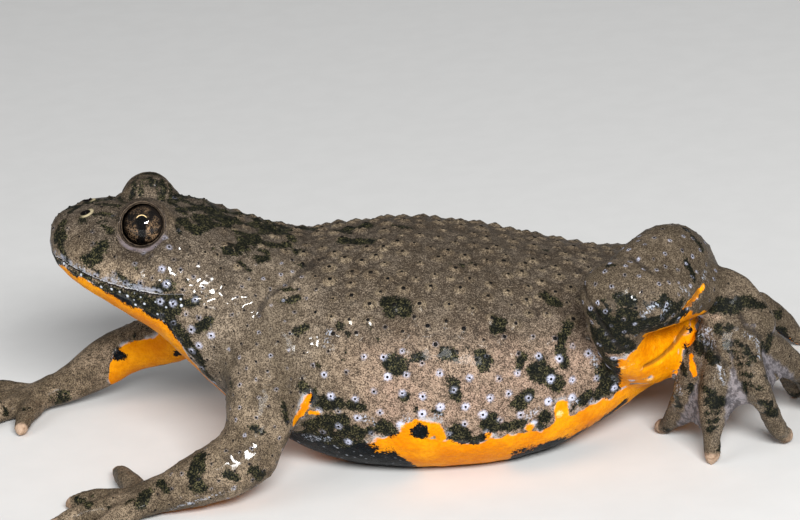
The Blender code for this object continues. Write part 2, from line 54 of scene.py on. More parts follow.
MM = 0.001

# The head and trunk as sections across the spine, snout first. widest is the height of the widest point.
SPINE = (
    Station(-25.7, 17.5, 17.3, 0.05, 17.4),
    Station(-25.4, 18.8, 16.1, 2.0, 17.2),
    Station(-24.5, 19.5, 15.2, 3.5, 16.9),
    Station(-22.7, 19.9, 13.9, 5.1, 16.5),
    Station(-20.4, 19.85, 12.4, 6.4, 15.9),
    Station(-18.0, 19.7, 10.6, 7.3, 15.0),
    Station(-16.2, 19.5, 8.4, 7.9, 13.9),
    Station(-14.4, 19.0, 6.2, 8.4, 12.7),
    Station(-11.8, 17.7, 3.6, 8.9, 11.2),
    Station(-9.0, 16.5, 1.6, 9.7, 9.7),
    Station(-6.5, 15.9, 0.3, 10.6, 8.6),
    Station(-3.0, 15.9, -0.5, 11.7, 7.7),
    Station(1.0, 15.9, -0.7, 12.4, 7.2),
    Station(5.8, 14.9, -0.7, 12.3, 6.9),
    Station(10.0, 13.7, -0.2, 11.2, 6.9),
    Station(13.5, 12.8, 1.1, 9.7, 7.4),
    Station(17.0, 11.8, 3.0, 8.0, 8.0),
    Station(20.0, 10.9, 4.6, 6.1, 8.2),
    Station(22.4, 10.0, 6.0, 3.4, 8.1),
    Station(23.6, 8.3, 7.9, 0.05, 8.1),
)
BACK_SQUARENESS = 2.15
BELLY_SQUARENESS = 2.7
TRUNK_SIDES, TRUNK_STEPS = 48, 6

# Each limb from its root inside the body outwards, as oval sections along its bone.
LIMBS = {
    "upper_arm_left": (
        Joint(-9.6, -5.4, 11.8, 3.0, 3.4),
        Joint(-10.3, -8.0, 9.0, 3.0, 3.2),
        Joint(-10.9, -10.2, 6.2, 2.6, 2.7),
        Joint(-11.8, -11.6, 4.3, 2.1, 2.2),
    ),
    "forearm_left": (
        Joint(-11.9, -11.8, 3.9, 2.1, 2.2),
        Joint(-13.9, -12.2, 3.2, 2.4, 2.2),
        Joint(-16.4, -12.3, 2.3, 2.0, 1.8),
        Joint(-18.6, -12.2, 1.6, 1.6, 1.3),
    ),
    "upper_arm_right": (
        Joint(-9.6, 5.4, 11.8, 3.0, 3.4),
        Joint(-13.6, 7.6, 8.5, 2.7, 2.8),
        Joint(-17.8, 9.6, 5.7, 2.2, 2.2),
        Joint(-21.4, 10.9, 4.4, 1.9, 1.9),
    ),
    "forearm_right": (
        Joint(-21.6, 11.0, 4.3, 1.9, 1.9),
        Joint(-23.7, 11.0, 3.3, 2.0, 1.9),
        Joint(-25.9, 10.7, 2.2, 1.8, 1.5),
        Joint(-27.8, 10.3, 1.5, 1.5, 1.2),
    ),
    "thigh_left": (
        Joint(20.7, -3.0, 10.8, 3.0, 3.1),
        Joint(19.6, -6.6, 13.8, 3.0, 3.2),
        Joint(17.9, -9.0, 14.4, 2.7, 2.8),
        Joint(16.2, -10.8, 14.0, 2.5, 2.5),
    ),
    "shank_left": (
        Joint(15.1, -12.3, 14.0, 2.6, 2.7),
        Joint(17.0, -12.0, 13.4, 2.7, 2.4),
        Joint(19.2, -10.4, 13.0, 2.3, 2.1),
        Joint(21.4, -7.6, 12.3, 1.9, 1.9),
    ),
    "thigh_right": (
        Joint(20.4, 2.8, 8.6, 3.2, 3.1),
        Joint(18.4, 6.8, 7.6, 3.2, 3.1),
        Joint(16.2, 10.0, 7.0, 2.9, 2.9),
        Joint(14.6, 12.2, 6.6, 2.5, 2.6),
    ),
    "shank_right": (
        Joint(14.2, 13.2, 5.8, 2.5, 2.6),
        Joint(16.8, 12.4, 5.6, 2.8, 2.6),
        Joint(19.8, 9.8, 6.2, 2.4, 2.2),
        Joint(22.4, 7.6, 6.9, 1.8, 1.8),
    ),
}
# Flesh between the limbs and the trunk: the groin with the fold from the knee, which stays with the torso.
GROINS = {
    "groin_left": (
        Joint(14.9, -11.8, 11.9, 2.2, 2.3),
        Joint(15.6, -10.2, 9.7, 1.8, 2.3),
        Joint(17.6, -7.4, 8.0, 2.2, 2.8),
        Joint(20.4, -4.2, 8.3, 2.1, 2.8),
    ),
    "groin_right": (
        Joint(15.0, 10.0, 5.6, 1.6, 2.0),
        Joint(16.2, 8.0, 5.6, 1.9, 2.4),
        Joint(18.2, 6.0, 6.2, 2.3, 2.6),
        Joint(20.6, 4.0, 7.4, 2.1, 2.4),
    ),
}
LIMB_SIDES, LIMB_STEPS = 20, 4

# Palm and tarsus, as a bone from the wrist or ankle on.
PALMS = {
    "hand_left": (
        Joint(-18.2, -12.2, 1.8, 1.6, 1.3),
        Joint(-19.9, -12.0, 1.2, 2.1, 1.1),
        Joint(-21.2, -11.8, 0.9, 1.9, 0.9),
    ),
    "hand_right": (
        Joint(-27.8, 10.3, 1.7, 1.5, 1.2),
        Joint(-29.2, 10.2, 1.2, 2.0, 1.0),
        Joint(-30.4, 10.2, 0.85, 1.8, 0.85),
    ),
    "foot_left": (
        Joint(22.0, -6.8, 12.1, 1.8, 1.8),
        Joint(23.3, -7.3, 11.1, 2.3, 1.6),
        Joint(23.9, -7.9, 9.8, 2.7, 1.4),
        Joint(24.2, -8.4, 8.8, 2.9, 1.15),
    ),
    "foot_right": (
        Joint(22.7, 8.0, 6.8, 1.8, 1.8),
        Joint(24.0, 8.7, 5.8, 2.1, 1.6),
        Joint(24.8, 9.4, 4.6, 2.5, 1.4),
        Joint(25.0, 10.2, 3.6, 2.7, 1.1),
    ),
}
# The way across each palm or foot.
ACROSS = {
    "hand_left": (0, 1, 0), "hand_right": (0, 1, 0),
    "foot_left": (1, 0.1, 0), "foot_right": (1, 0.25, 0),
}
# Digits, first finger or toe first: where each leaves the palm, its knuckle and its tip on the floor.
DIGITS = {
    "hand_left": (
        ((-20.2, -10.6, 1.0), (-21.3, -7.6, 1.0), (-22.1, -4.8, 0.55)),
        ((-21.2, -11.4, 1.0), (-23.4, -10.8, 1.05), (-25.4, -10.0, 0.55)),
        ((-21.4, -12.3, 1.0), (-24.0, -13.2, 1.05), (-26.4, -14.0, 0.55)),
        ((-20.6, -13.2, 1.0), (-22.2, -15.0, 1.0), (-23.6, -16.6, 0.55)),
    ),
    "hand_right": (
        ((-29.3, 9.0, 1.0), (-29.8, 7.0, 1.0), (-30.1, 5.2, 0.55)),
        ((-30.2, 9.6, 0.95), (-31.8, 8.2, 1.0), (-33.2, 7.0, 0.55)),
        ((-30.6, 10.4, 0.95), (-32.8, 10.2, 1.0), (-35.0, 10.0, 0.55)),
        ((-30.0, 11.4, 0.95), (-31.8, 12.8, 1.0), (-33.2, 14.2, 0.55)),
    ),
    "foot_left": (
        ((22.4, -7.9, 9.2), (20.3, -8.2, 5.4), (18.3, -4.6, 0.5)),
        ((23.0, -8.4, 9.0), (21.6, -10.5, 4.7), (21.4, -11.2, 0.55)),
        ((24.0, -8.1, 9.4), (24.9, -10.8, 5.9), (27.2, -8.7, 0.65)),
        ((25.2, -8.1, 8.6), (28.2, -6.2, 5.2), (31.2, -2.6, 0.6)),
        ((25.4, -7.3, 8.8), (27.9, -3.2, 4.0), (29.2, 0.4, 0.55)),
    ),
    "foot_right": (
        ((23.7, 9.2, 4.7), (21.8, 11.0, 2.6), (20.0, 12.2, 0.55)),
        ((24.2, 10.2, 4.3), (22.8, 13.0, 2.5), (21.4, 15.0, 0.55)),
        ((25.2, 10.8, 4.1), (25.4, 14.2, 2.4), (25.0, 17.4, 0.6)),
        ((26.4, 10.4, 4.2), (28.0, 13.0, 2.5), (29.2, 15.6, 0.6)),
        ((27.2, 9.4, 4.4), (29.2, 10.2, 2.5), (31.0, 10.8, 0.55)),
    ),
}
DIGIT_RADIUS = {"hand": (0.95, 0.78, 0.58), "foot": (1.2, 0.82, 0.62)}
TIP_SWELL = 1.12  # a digit's tip against the radius before it
# How far the web between two neighbours reaches along either, from 0 at the palm to 1 at the tip.
WEB_REACH = {
    "hand": ((0.24, 0.24), (0.22, 0.22), (0.24, 0.24)),
    "foot": ((0.92, 0.66), (0.72, 0.5), (0.5, 0.55), (0.7, 0.7)),
}
WEB_HOLLOW = 0.28
WEB_THICKNESS = 0.6
WEB_STEPS = 9

EYE = Vector((-18.3, 2.85, 18.95))
EYE_RADIUS = 1.75
EYEBALL_SHARE = 0.97  # of the cornea's radius, behind the iris
SOCKET_GAP = 0.02
LID_RADIUS = 2.15
APERTURE = 1.78  # radius of the opening between the lids
# The cone that is cut between the lids: its radius in the eye's middle and outside, and its length.
OPENING = (0.6, APERTURE * 1.9, 3.4)
GAZE = Vector((-0.14, 0.9, 0.36)).normalized()
EYE_SIDES = 96
# The iris in section: distance from the gaze and height along it, in eye radii.
IRIS = (
    (0.02, 0.72), (0.14, 0.722), (0.28, 0.728), (0.38, 0.735),
    (0.46, 0.73), (0.56, 0.7), (0.66, 0.655), (0.75, 0.59),
)
WATER_IOR = 1.33

# The line between the lips on one side, from the tip of the snout to the corner of the mouth.
MOUTH = ((-25.7, 0.0, 17.2), (-24.7, 3.1, 16.9), (-22.7, 5.1, 16.2), (-20.4, 6.4, 15.6), (-17.7, 7.3, 15.1))
MOUTH_END = -14.0  # nothing behind this belongs to the face
NECK = -12.5  # what is high up before this is head
NOSTRIL = Vector((-22.7, 1.55, 19.8))
NOSTRIL_WAY = Vector((-0.25, 0.62, 0.75)).normalized()
NOSTRIL_CONE = (0.2, 0.323, 1.4)  # its radius inside and outside, and its length
NOSTRIL_DEPTH = 0.8
NOSTRIL_RIM_RADIUS, NOSTRIL_RIM_SUNK = 0.66, 0.35
ARM_PIT = (-9.6, -9.4, 11.5)
SHOULDER = (-10.5, 0, 9)

# How finely the flesh is made, first without hands and feet, then whole and then as skin.
CORE_VOXEL, VOXEL, SKIN_VOXEL = 0.42, 0.3, 0.15
CREASE_ROUNDS = 6  # how far the creases between trunk and limbs are smoothed
SMOOTH_ROUNDS = 3

# Warts and their horny tips.
WART_SEED = 12
WART_TRIES = 60000
WART_CELL = 2.0
WART_SPACING = {"side": 1.45, "back": 1.25, "face": 1.0, "limb": 0.95, "foot": 2.2}
WART_LOOSENESS = (0.85, 1.3)  # the spacing's share that a wart really keeps
WART_SIZES = (0.7, 1.15)
WART_RADIUS = 0.36  # twice this on the back
WART_HEIGHT = 0.05
BACK_WART_HEIGHT = 0.18  # added to that on the back
SPINE_RADIUS, BACK_SPINE_RADIUS = 0.09, 0.125
SPINE_HEIGHT, SPINE_DEPTH = 0.085, 0.03
SPINE_SIDES = 7
SPINE_RINGS = ((1.25, 0.0), (1.0, 0.05), (0.5, 0.075))  # share of the radius, and height

# How deep or high the other things in the skin are.
LIP_GROOVE = 0.2
LID_FURROW = 0.22
LID_RING = 0.075
CREASE_DEPTH = 0.2
FOLD_DEPTH, FOLD_RADIUS = 0.16, 3.3
TOE_CREASE_DEPTH = 0.05
ABOVE_FLOOR = 0.004

# What makes skin and markings uneven: waves, each with its height, size and seed.
WAVES = {
    "skin": ((0.07, 2.2, 3), (0.035, 0.7, 4)),
    "wet skin": ((0.125, 0.8, 51), (0.07, 0.45, 52)),
    "border": ((0.3, 1.7, 11), (0.25, 0.6, 12)),
    "edge": ((0.16, 0.8, 21), (0.14, 0.3, 22)),
    "back": ((0.12, 2.4, 61),),
    "back spots": ((0.8, 1.3, 41), (0.5, 0.5, 42)),
    "belly spots": ((1.3, 2.6, 33), (0.4, 0.9, 34)),
    "limb spots": ((0.9, 1.5, 35), (0.4, 0.55, 36)),
}
# Large odd numbers that turn a place and a seed into a random value.
PLACE_HASH, SEED_HASH, MIXED_HASH = (73856093, 19349663, 83492791), 2654435761, 1274126177

FLESH_NODES = ["head", "torso"] + [
    f"{part}_{side}"
    for part in ("upper_arm", "forearm", "hand", "thigh", "shank", "foot")
    for side in ("left", "right")
]

# Where each limb is orange: the way its underside faces.
UNDERSIDES = {
    "upper_arm_left": (0.35, 0.75, -0.55),
    "forearm_left": (0.2, 0.75, -0.65),
    "hand_left": (0.0, 0.0, -1.0),
    "upper_arm_right": (-0.25, -0.75, -0.6),
    "forearm_right": (-0.1, -0.75, -0.65),
    "hand_right": (0.0, 0.0, -1.0),
    "thigh_left": (0.2, 0.5, -0.85),
    "shank_left": (0.35, 0.5, -0.8),
    "foot_left": (-0.75, 0.35, -0.55),
    "thigh_right": (0.2, 0.1, -0.97),
    "shank_right": (0.35, 0.25, -0.9),
    "foot_right": (-0.7, -0.35, -0.6),
}

# The height at which the brown of the side gives way to the orange of the underside, along the body.
BORDER = (
    (-25.6, 15.8), (-24.7, 16.4), (-23.3, 15.9), (-21.2, 14.9), (-19.3, 14.0), (-17.9, 13.4), (-16.9, 12.6),
    (-16.4, 11.6), (-15.8, 9.8), (-14.5, 7.4), (-12.0, 5.4), (-8.9, 4.4), (-6.9, 3.4), (-5.1, 2.9),
    (-3.8, 3.8), (-1.0, 4.4), (1.1, 4.3), (3.2, 3.5), (9.1, 3.7), (10.4, 4.1), (14.4, 4.9), (16.0, 5.6),
    (20.0, 6.5), (23.6, 7.5),
)
# Where the skin under the flank is black, partly its own blue-black and partly painted shadow: a place along
# the body, and how high the skin may face there.
KEEL = (
    (-11, -1.2), (-9.5, -0.25), (-4.5, -0.35), (-1.2, -0.62), (1, -1.2),
    (6, -1.2), (7, -0.72), (14.6, -0.7), (15.4, -1.2),
)
OUT = -9.0  # a field's value well outside a marking
FAR_SHIFT = 0.7  # how far a marking may move when it is repeated on the far side

# The picture that the near side's markings are placed by: width, height and millimetres in one pixel.
PICTURE = (800, 520)
PIXEL = 0.074
LENS, SENSOR = 160.0, 36.0
ELEVATION, LEAN, DISTANCE = math.radians(19.5), math.radians(4.7), 264.0
AIM = Vector((0, 0, 13.65))

# Markings as strokes over the near side: a stroke's radius and its points, all in the picture's pixels.
DARK = {
    "snout": (
        (4, (63, 222), (57, 231), (56, 240)), (5, (63, 226), (61, 238)), (4, (59, 243), (62, 254), (68, 262)),
        (4, (97, 205), (118, 206)), (3, (95, 215), (104, 214)), (4, (70, 212), (80, 206)),
        (3, (110, 213), (118, 219)), (3, (86, 203), (98, 200)), (3, (104, 226), (112, 232)),
        (2, (99, 222), (106, 221)), (7, (103, 244), (97, 252)), (8, (95, 258), (87, 260)),
        (3, (88, 266), (98, 272)), (3, (62, 250), (66, 262)),
    ),
    "jaw": (
        (4, (78, 271), (90, 279)), (5, (94, 284), (110, 291)), (6, (112, 292), (127, 299)),
        (8, (130, 300), (144, 306)), (10, (148, 308), (162, 313)), (9, (168, 318), (178, 331)),
        (8, (184, 338), (194, 352)), (6, (200, 362), (210, 378)), (3, (117, 273), (127, 283)),
        (4, (129, 286), (138, 289)), (6, (157, 289), (170, 285)), (4, (168, 281), (173, 289)),
        (5, (183, 303), (195, 301)), (4, (168, 303), (178, 306)),
    ),
    "far eye": (
        (4, (129, 179), (123, 188), (120, 199)), (3, (136, 177), (133, 188), (131, 198)),
        (2, (142, 180), (141, 194)), (3, (149, 177), (152, 188)), (2, (156, 180), (157, 192)),
        (3, (162, 180), (164, 190), (162, 200)), (3, (170, 186), (173, 198)), (4, (143, 173), (160, 175)),
        (3, (118, 197), (124, 203)), (2, (140, 198), (150, 199)),
    ),
    "neck": (
        (6, (206, 323), (199, 327)), (5, (180, 210), (214, 209), (240, 215)), (7, (182, 222), (196, 230)),
        (6, (203, 227), (218, 224)), (5, (222, 220), (242, 224)), (3, (240, 262), (250, 270)),
        (3, (232, 246), (240, 254)), (3, (168, 200), (178, 206), (186, 214)), (2, (176, 220), (178, 232)),
        (5, (263, 244), (286, 246)), (4, (262, 233), (268, 229)), (7, (286, 234), (292, 240)),
        (7, (300, 228), (316, 229)), (8, (342, 242), (368, 242)), (5, (396, 226), (410, 228)),
        (3, (278, 301), (296, 297)), (2, (284, 289), (300, 289)), (3, (294, 332), (305, 327)),
        (5, (339, 326)), (3, (348, 333)), (2, (347, 348), (343, 360)), (3, (318, 366)),
        (3, (226, 392), (231, 384)), (2, (249, 427), (262, 430)),
    ),
    "flank": (
        (8, (388, 302), (392, 312)), (9, (400, 306), (406, 311)), (10, (393, 363), (399, 366)),
        (4, (412, 360), (420, 356)), (7, (445, 354), (454, 356)), (6, (479, 354), (484, 366)),
        (6, (490, 360)), (7, (453, 383), (456, 395)), (8, (499, 322), (496, 328)),
        (7, (546, 296), (556, 304)), (5, (568, 326), (561, 340), (560, 352), (564, 364)),
        (6, (523, 356), (520, 367)), (9, (534, 371), (548, 375)), (8, (553, 380), (558, 385)),
        (5, (541, 360)), (8, (520, 402), (528, 396)), (5, (405, 398)), (4, (415, 408)),
        (3, (433, 410), (440, 411)), (3, (551, 400)),
    ),
    "border": (
        (6, (306, 424), (316, 424)), (5, (302, 385), (306, 390)), (3, (315, 390), (316, 396)),
        (8, (318, 402), (338, 403)), (6, (350, 405), (362, 407)), (9, (322, 424), (344, 420)),
        (9, (345, 432), (358, 432)), (6, (352, 444), (360, 446)), (10, (384, 428), (388, 431)),
        (5, (369, 430)), (9, (420, 431)), (11, (458, 433), (462, 436)), (6, (474, 440), (480, 438)),
        (5, (484, 426)), (8, (491, 418), (494, 426)), (5, (502, 427), (522, 424)), (9, (545, 417)),
        (6, (541, 425)), (8, (582, 400), (588, 396)), (4, (573, 408)), (8, (600, 393), (612, 389)),
        (4, (591, 326), (596, 336)), (7, (598, 340), (601, 352)), (10, (604, 358), (605, 378)),
        (9, (298, 436), (330, 441)), (9, (308, 450), (340, 456)), (5, (290, 440), (300, 452)),
        (4, (366, 463), (384, 465)), (9, (296, 448)), (9, (316, 458), (338, 463)),
        # Of these, the strokes through (496, 466) to (622, 404) and from (440, 470) to (480, 468) are painted
        # shadow along the lower outline.
        (5, (345, 467), (396, 471)), (7, (496, 466), (535, 457), (564, 445)),
        (7, (585, 432), (606, 416), (622, 404)), (5, (440, 470), (480, 468)),
    ),
    "knee": (
        (2, (608, 266), (624, 265)), (5, (645, 228), (665, 223), (686, 229)), (3, (694, 238), (702, 250)),
        (3, (686, 263), (692, 272), (694, 281)), (4, (618, 296), (622, 304)), (6, (622, 312), (634, 315)),
        (6, (632, 320), (648, 324)), (6, (656, 320), (664, 317)), (4, (664, 297), (670, 302)),
        (4, (676, 304), (680, 310)), (10, (600, 316), (616, 338)), (12, (618, 326), (636, 328)),
        (9, (622, 342), (628, 350)), (9, (634, 326), (648, 325)), (7, (650, 322), (664, 317)),
        (6, (668, 313), (682, 303)), (6, (624, 300), (634, 303)), (4, (656, 303), (668, 308)),
        (2, (604, 300), (608, 310)), (2, (640, 300), (652, 308)), (5, (590, 312), (600, 322)),
        (8, (600, 334), (608, 350)), (9, (611, 362), (612, 380)), (6, (604, 384), (614, 390)),
        (6, (650, 330), (668, 324), (684, 313)), (5, (616, 352), (630, 351)),
    ),
    "foot": (
        (9, (716, 306), (734, 306)), (6, (742, 302), (762, 306), (778, 314)), (5, (719, 328)),
        (3, (727, 328), (731, 329)), (3, (727, 345), (736, 342), (748, 348)), (2, (729, 351), (750, 353)),
        (2, (732, 358), (755, 358)), (2, (737, 364), (748, 364)), (7, (698, 346), (706, 348)),
        (5, (708, 354), (714, 360)), (5, (705, 389), (711, 394)), (6, (709, 401), (716, 404)),
        (2, (707, 413), (719, 413)), (2, (708, 421), (718, 420)), (2, (708, 429), (718, 428)),
        (5, (671, 388), (670, 396)), (4, (676, 398), (678, 405)), (4, (683, 364), (684, 373)),
        (4, (685, 346), (687, 352)), (3, (751, 386), (760, 388)), (5, (763, 403), (771, 405)),
        (4, (768, 412), (777, 413)), (5, (770, 338), (764, 350)), (4, (778, 328), (790, 340)),
        # (4, (762, 345), (766, 360)) is painted shade in the groove between the third and fourth toes.
        (4, (762, 345), (766, 360)), (3, (690, 330), (700, 336)), (3, (740, 372), (750, 376)),
    ),
    "arm": (
        (9, (199, 458), (198, 468)), (9, (194, 474), (197, 486)), (5, (198, 487), (204, 489)),
        (6, (254, 470), (260, 476)), (7, (146, 494), (142, 504)), (4, (252, 427), (262, 432)),
        # (4, (283, 404), (288, 424)) is painted shade in the crease where the arm meets the trunk.
        (4, (283, 404), (288, 424)), (5, (76, 500), (88, 505)), (5, (160, 482), (168, 490)),
        (4, (226, 474), (236, 478)), (2, (104, 501), (110, 508)), (3, (125, 504), (130, 500)),
    ),
}
ORANGE = {
    "throat": (
        (3, (92, 287), (104, 296), (118, 304)), (4, (122, 305), (138, 314)), (5, (148, 320), (162, 330)),
        (3, (168, 336), (178, 348), (188, 360)),
    ),
    "axilla": ((5, (309, 397), (304, 407)), (6, (301, 413), (296, 421)), (2, (310, 413), (317, 413))),
    "groin": (
        (9, (650, 338), (684, 325)), (8, (642, 345), (684, 343)), (8, (650, 358), (674, 354)),
        (6, (684, 318), (690, 340)), (3, (684, 310), (696, 297), (704, 285)),
        (5, (626, 382), (646, 381), (660, 378)), (6, (622, 362), (627, 376)),
        (6, (630, 378), (646, 373), (662, 368)), (6, (634, 360), (648, 362)), (3, (691, 356), (695, 374)),
        (4, (672, 360), (668, 372)), (7, (632, 356), (660, 352)), (6, (646, 366), (672, 364)),
        (7, (640, 382), (668, 372)), (4, (664, 380), (676, 372)), (5, (680, 350), (676, 366)),
        (5, (630, 363)), (4, (638, 368)), (4, (647, 371)), (5, (656, 367)), (5, (664, 363)),
        (9, (632, 368), (642, 376)), (8, (654, 370), (664, 374)), (6, (621, 366), (624, 384)),
        (4, (636, 358)), (4, (642, 364)), (5, (680, 325), (678, 345)), (5, (694, 320), (694, 338)),
        (5, (688, 316), (691, 338)), (4, (674, 354), (672, 366)),
    ),
    "belly": (
        (5, (403, 438), (405, 429), (419, 423), (437, 427), (441, 438)), (4, (352, 452), (378, 446)),
        (7, (411, 432), (429, 432)), (5, (488, 436)), (5, (530, 427)), (8, (561, 408), (562, 418)),
    ),
}
# Skin with bluish-white specks, partly its own and partly painted highlights of wet skin, sunk creases, and
# places that are uneven and wet enough to glint.
SPECKS_AND_SHEEN = {
    "lip": ((2, (108, 276), (126, 284), (150, 293)), (3, (70, 264), (84, 270))),
    "knee": (
        (4, (644, 314), (654, 306)), (3, (662, 313), (668, 304)), (3, (682, 288), (688, 293)),
        (2, (702, 280), (706, 272)),
    ),
    "border": (
        (4, (364, 418), (372, 422)), (5, (408, 418), (404, 422)), (4, (438, 416)),
        (3, (528, 416), (538, 410)), (3, (572, 398), (578, 402)), (2, (612, 376), (616, 382)),
        (4, (306, 437), (328, 438)), (3, (594, 358), (596, 364)),
    ),
    "arm": (
        (2, (170, 509), (200, 500), (235, 488)), (2, (215, 386), (222, 396)), (3, (330, 330), (326, 344)),
    ),
    "foot": (
        (5, (700, 318), (707, 332)), (3, (668, 384), (664, 410)), (3, (676, 375), (680, 392)),
        (4, (700, 335), (712, 345)), (3, (746, 334), (758, 342), (760, 356)), (3, (720, 366), (724, 382)),
    ),
}
# The creases are sunk in the mesh, and the materials also darken them with painted shade.
CREASES = {
    "knee": (
        (1, (622, 247), (630, 256), (642, 263), (652, 272)),
        (1, (581, 268), (584, 288), (594, 311), (612, 341), (624, 353)),
    ),
    "groin": ((1, (686, 328), (673, 347), (656, 362), (646, 367)), (1, (700, 290), (688, 308))),
    "neck": ((1, (314, 259), (292, 279), (268, 295), (258, 314)), (1, (324, 256), (308, 268))),
    "foot": ((1, (741, 316), (746, 326), (762, 338)), (1, (703, 338), (716, 352), (727, 366))),
}
WET = {
    "cheek": (
        (18, (160, 265), (190, 280)), (20, (200, 282), (240, 290)), (12, (250, 305), (262, 312)),
        (11, (154, 254), (184, 250)),
    ),
    "eyes": ((10, (136, 190), (156, 190)), (5, (64, 240), (72, 248))),
    "shoulder": ((10, (305, 350), (320, 345)), (8, (345, 330), (374, 328)), (6, (290, 385))),
    "forearm": ((9, (232, 458), (252, 450)), (4, (212, 470))),
    "knee": ((12, (640, 294), (654, 300)), (5, (612, 305))),
    "foot": (
        (8, (676, 380), (672, 404)), (5, (752, 398), (762, 410)), (4, (724, 412), (716, 442)),
        (4, (786, 436)),
    ),
}
MARKING_SEED = 5

# The studio, in metres: each softbox's place, width, height and power, and whether wet skin mirrors it.
LAMPS = {
    "key": ((0.06, -0.39, 0.25), 0.2, 0.1, 3.9, True),
    "fill": ((-0.35, -0.25, 0.3), 0.3, 0.3, 0.8, False),
    "rim": ((0.1, 0.35, 0.3), 0.2, 0.2, 0.2, False),
}
LIT_PLACE = (0, 0, 0.008)  # where they point
FLOOR_WIDTH = 3.2
ROOM_STRENGTH = 0.28


def mirrored(vector):
    return Vector((vector[0], -vector[1], vector[2]))


# Each half of the face, with its eye, where the eye looks, its nostril and the way into that.
Side = namedtuple("Side", "name eye gaze nostril way")
SIDES = (
    Side("left", *(mirrored(place) for place in (EYE, GAZE, NOSTRIL, NOSTRIL_WAY))),
    Side("right", EYE, GAZE, NOSTRIL, NOSTRIL_WAY),
)


# Making and joining shapes.
def placed(name, data, into):
    """A new object of the given data in a collection."""
    made = bpy.data.objects.new(name, data)
    into.objects.link(made)
    return made


def spline(rows, per_span):
    """A smooth curve through rows of numbers, with per_span steps from each row to the next."""
    rows = np.array(rows, float)
    ends = np.vstack([2 * rows[0] - rows[1], rows, 2 * rows[-1] - rows[-2]])
    t = np.linspace(0, 1, per_span, endpoint=False)[:, None]
    spans = [
        0.5 * (2 * b + (c - a) * t + (2 * a - 5 * b + 4 * c - d) * t**2 + (3 * b - a - 3 * c + d) * t**3)
        for a, b, c, d in zip(ends[:-3], ends[1:-2], ends[2:-1], ends[3:])
    ]
    return np.vstack([*spans, rows[-1:]])


def signed_power(values, power):
    return np.sign(values) * np.abs(values) ** power


def bands(rings, sides, first=0):
    """The faces between rings of points, of which the first ring starts at point first."""
    return [
        (low + s, low + (s + 1) % sides, low + sides + (s + 1) % sides, low + sides + s)
        for low in range(first, first + (rings - 1) * sides, sides)
        for s in range(sides)
    ]


def fan(first, sides, tip):
    """The faces from a ring of points to one point."""
    return [(first + s, first + (s + 1) % sides, tip) for s in range(sides)]


def solid(name, points, faces, into):
    """An object of points in millimetres, with its faces turned outwards."""
    mesh = bpy.data.meshes.new(name)
    mesh.from_pydata([tuple(np.array(point) * MM) for point in points], [], faces)
    bm = bmesh.new()
    bm.from_mesh(mesh)
    bmesh.ops.recalc_face_normals(bm, faces=bm.faces)
    bm.to_mesh(mesh)
    bm.free()
    return placed(name, mesh, into)


def loft(name, rings, into):
    """A closed mesh through rings of points, its two ends closed by one point each."""
    sides = len(rings[0])
    points = [point for ring in rings for point in ring] + [np.mean(rings[0], 0), np.mean(rings[-1], 0)]
    faces = bands(len(rings), sides) + fan(0, sides, len(points) - 2)
    return solid(name, points, faces + fan((len(rings) - 1) * sides, sides, len(points) - 1), into)


def shape(name, into, make, **sizes):
    """An object from one of the ready-made shapes."""
    mesh = bpy.data.meshes.new(name)
    bm = bmesh.new()
    make(bm, **sizes)
    bm.to_mesh(mesh)
    bm.free()
    return placed(name, mesh, into)


def ball(name, centre, radius, into, segments=32):
    sizes = {"u_segments": segments, "v_segments": segments // 2, "radius": radius * MM}
    made = shape(name, into, bmesh.ops.create_uvsphere, **sizes)
    made.location = Vector(centre) * MM
    return made


def peg(name, foot, way, radius, end_radius, length, into):
    """A round peg or cone from foot along way."""
    sizes = {"segments": 32, "radius1": radius * MM, "radius2": end_radius * MM, "depth": length * MM}
    made = shape(name, into, bmesh.ops.create_cone, cap_ends=True, **sizes)
    made.location = (Vector(foot) + Vector(way) * length / 2) * MM
    made.rotation_mode = "QUATERNION"
    made.rotation_quaternion = Vector(way).to_track_quat("Z", "Y")
    return made


def settled(obj):
    """Applies what an object's modifiers and placing do, as a plain mesh object of the same name."""
    bpy.context.view_layer.update()
    graph = bpy.context.evaluated_depsgraph_get()
    mesh = bpy.data.meshes.new_from_object(obj.evaluated_get(graph))
    mesh.transform(obj.matrix_world)
    name, homes = obj.name, list(obj.users_collection)
    bpy.data.objects.remove(obj)
    made = bpy.data.objects.new(name, mesh)
    for home in homes:
        home.objects.link(made)
    return made


def resurfaced(obj, voxel, rounds):
    """A voxel remesh, then rounds of smoothing over its creases."""
    remesh = obj.modifiers.new("remesh", "REMESH")
    remesh.mode = "VOXEL"
    remesh.voxel_size = voxel * MM
    smooth = obj.modifiers.new("smooth", "SMOOTH")
    smooth.factor = 0.5
    smooth.iterations = rounds
    return settled(obj)


def fused(name, pieces, voxel, rounds, into):
    """One closed skin over overlapping pieces."""
    bm = bmesh.new()
    for piece in pieces:
        piece = settled(piece)
        bm.from_mesh(piece.data)
        bpy.data.objects.remove(piece)
    bmesh.ops.remove_doubles(bm, verts=bm.verts, dist=1e-7)
    mesh = bpy.data.meshes.new(name)
    bm.to_mesh(mesh)
    bm.free()
    return resurfaced(placed(name, mesh, into), voxel, rounds)


def cut(target, tool):
    """Cuts with MANIFOLD, because the flesh has too many faces for EXACT to be quick."""
    modifier = target.modifiers.new("cut", "BOOLEAN")
    modifier.operation = "DIFFERENCE"
    modifier.solver = "MANIFOLD"
    modifier.object = tool
    made = settled(target)
    bpy.data.objects.remove(tool)
    return made


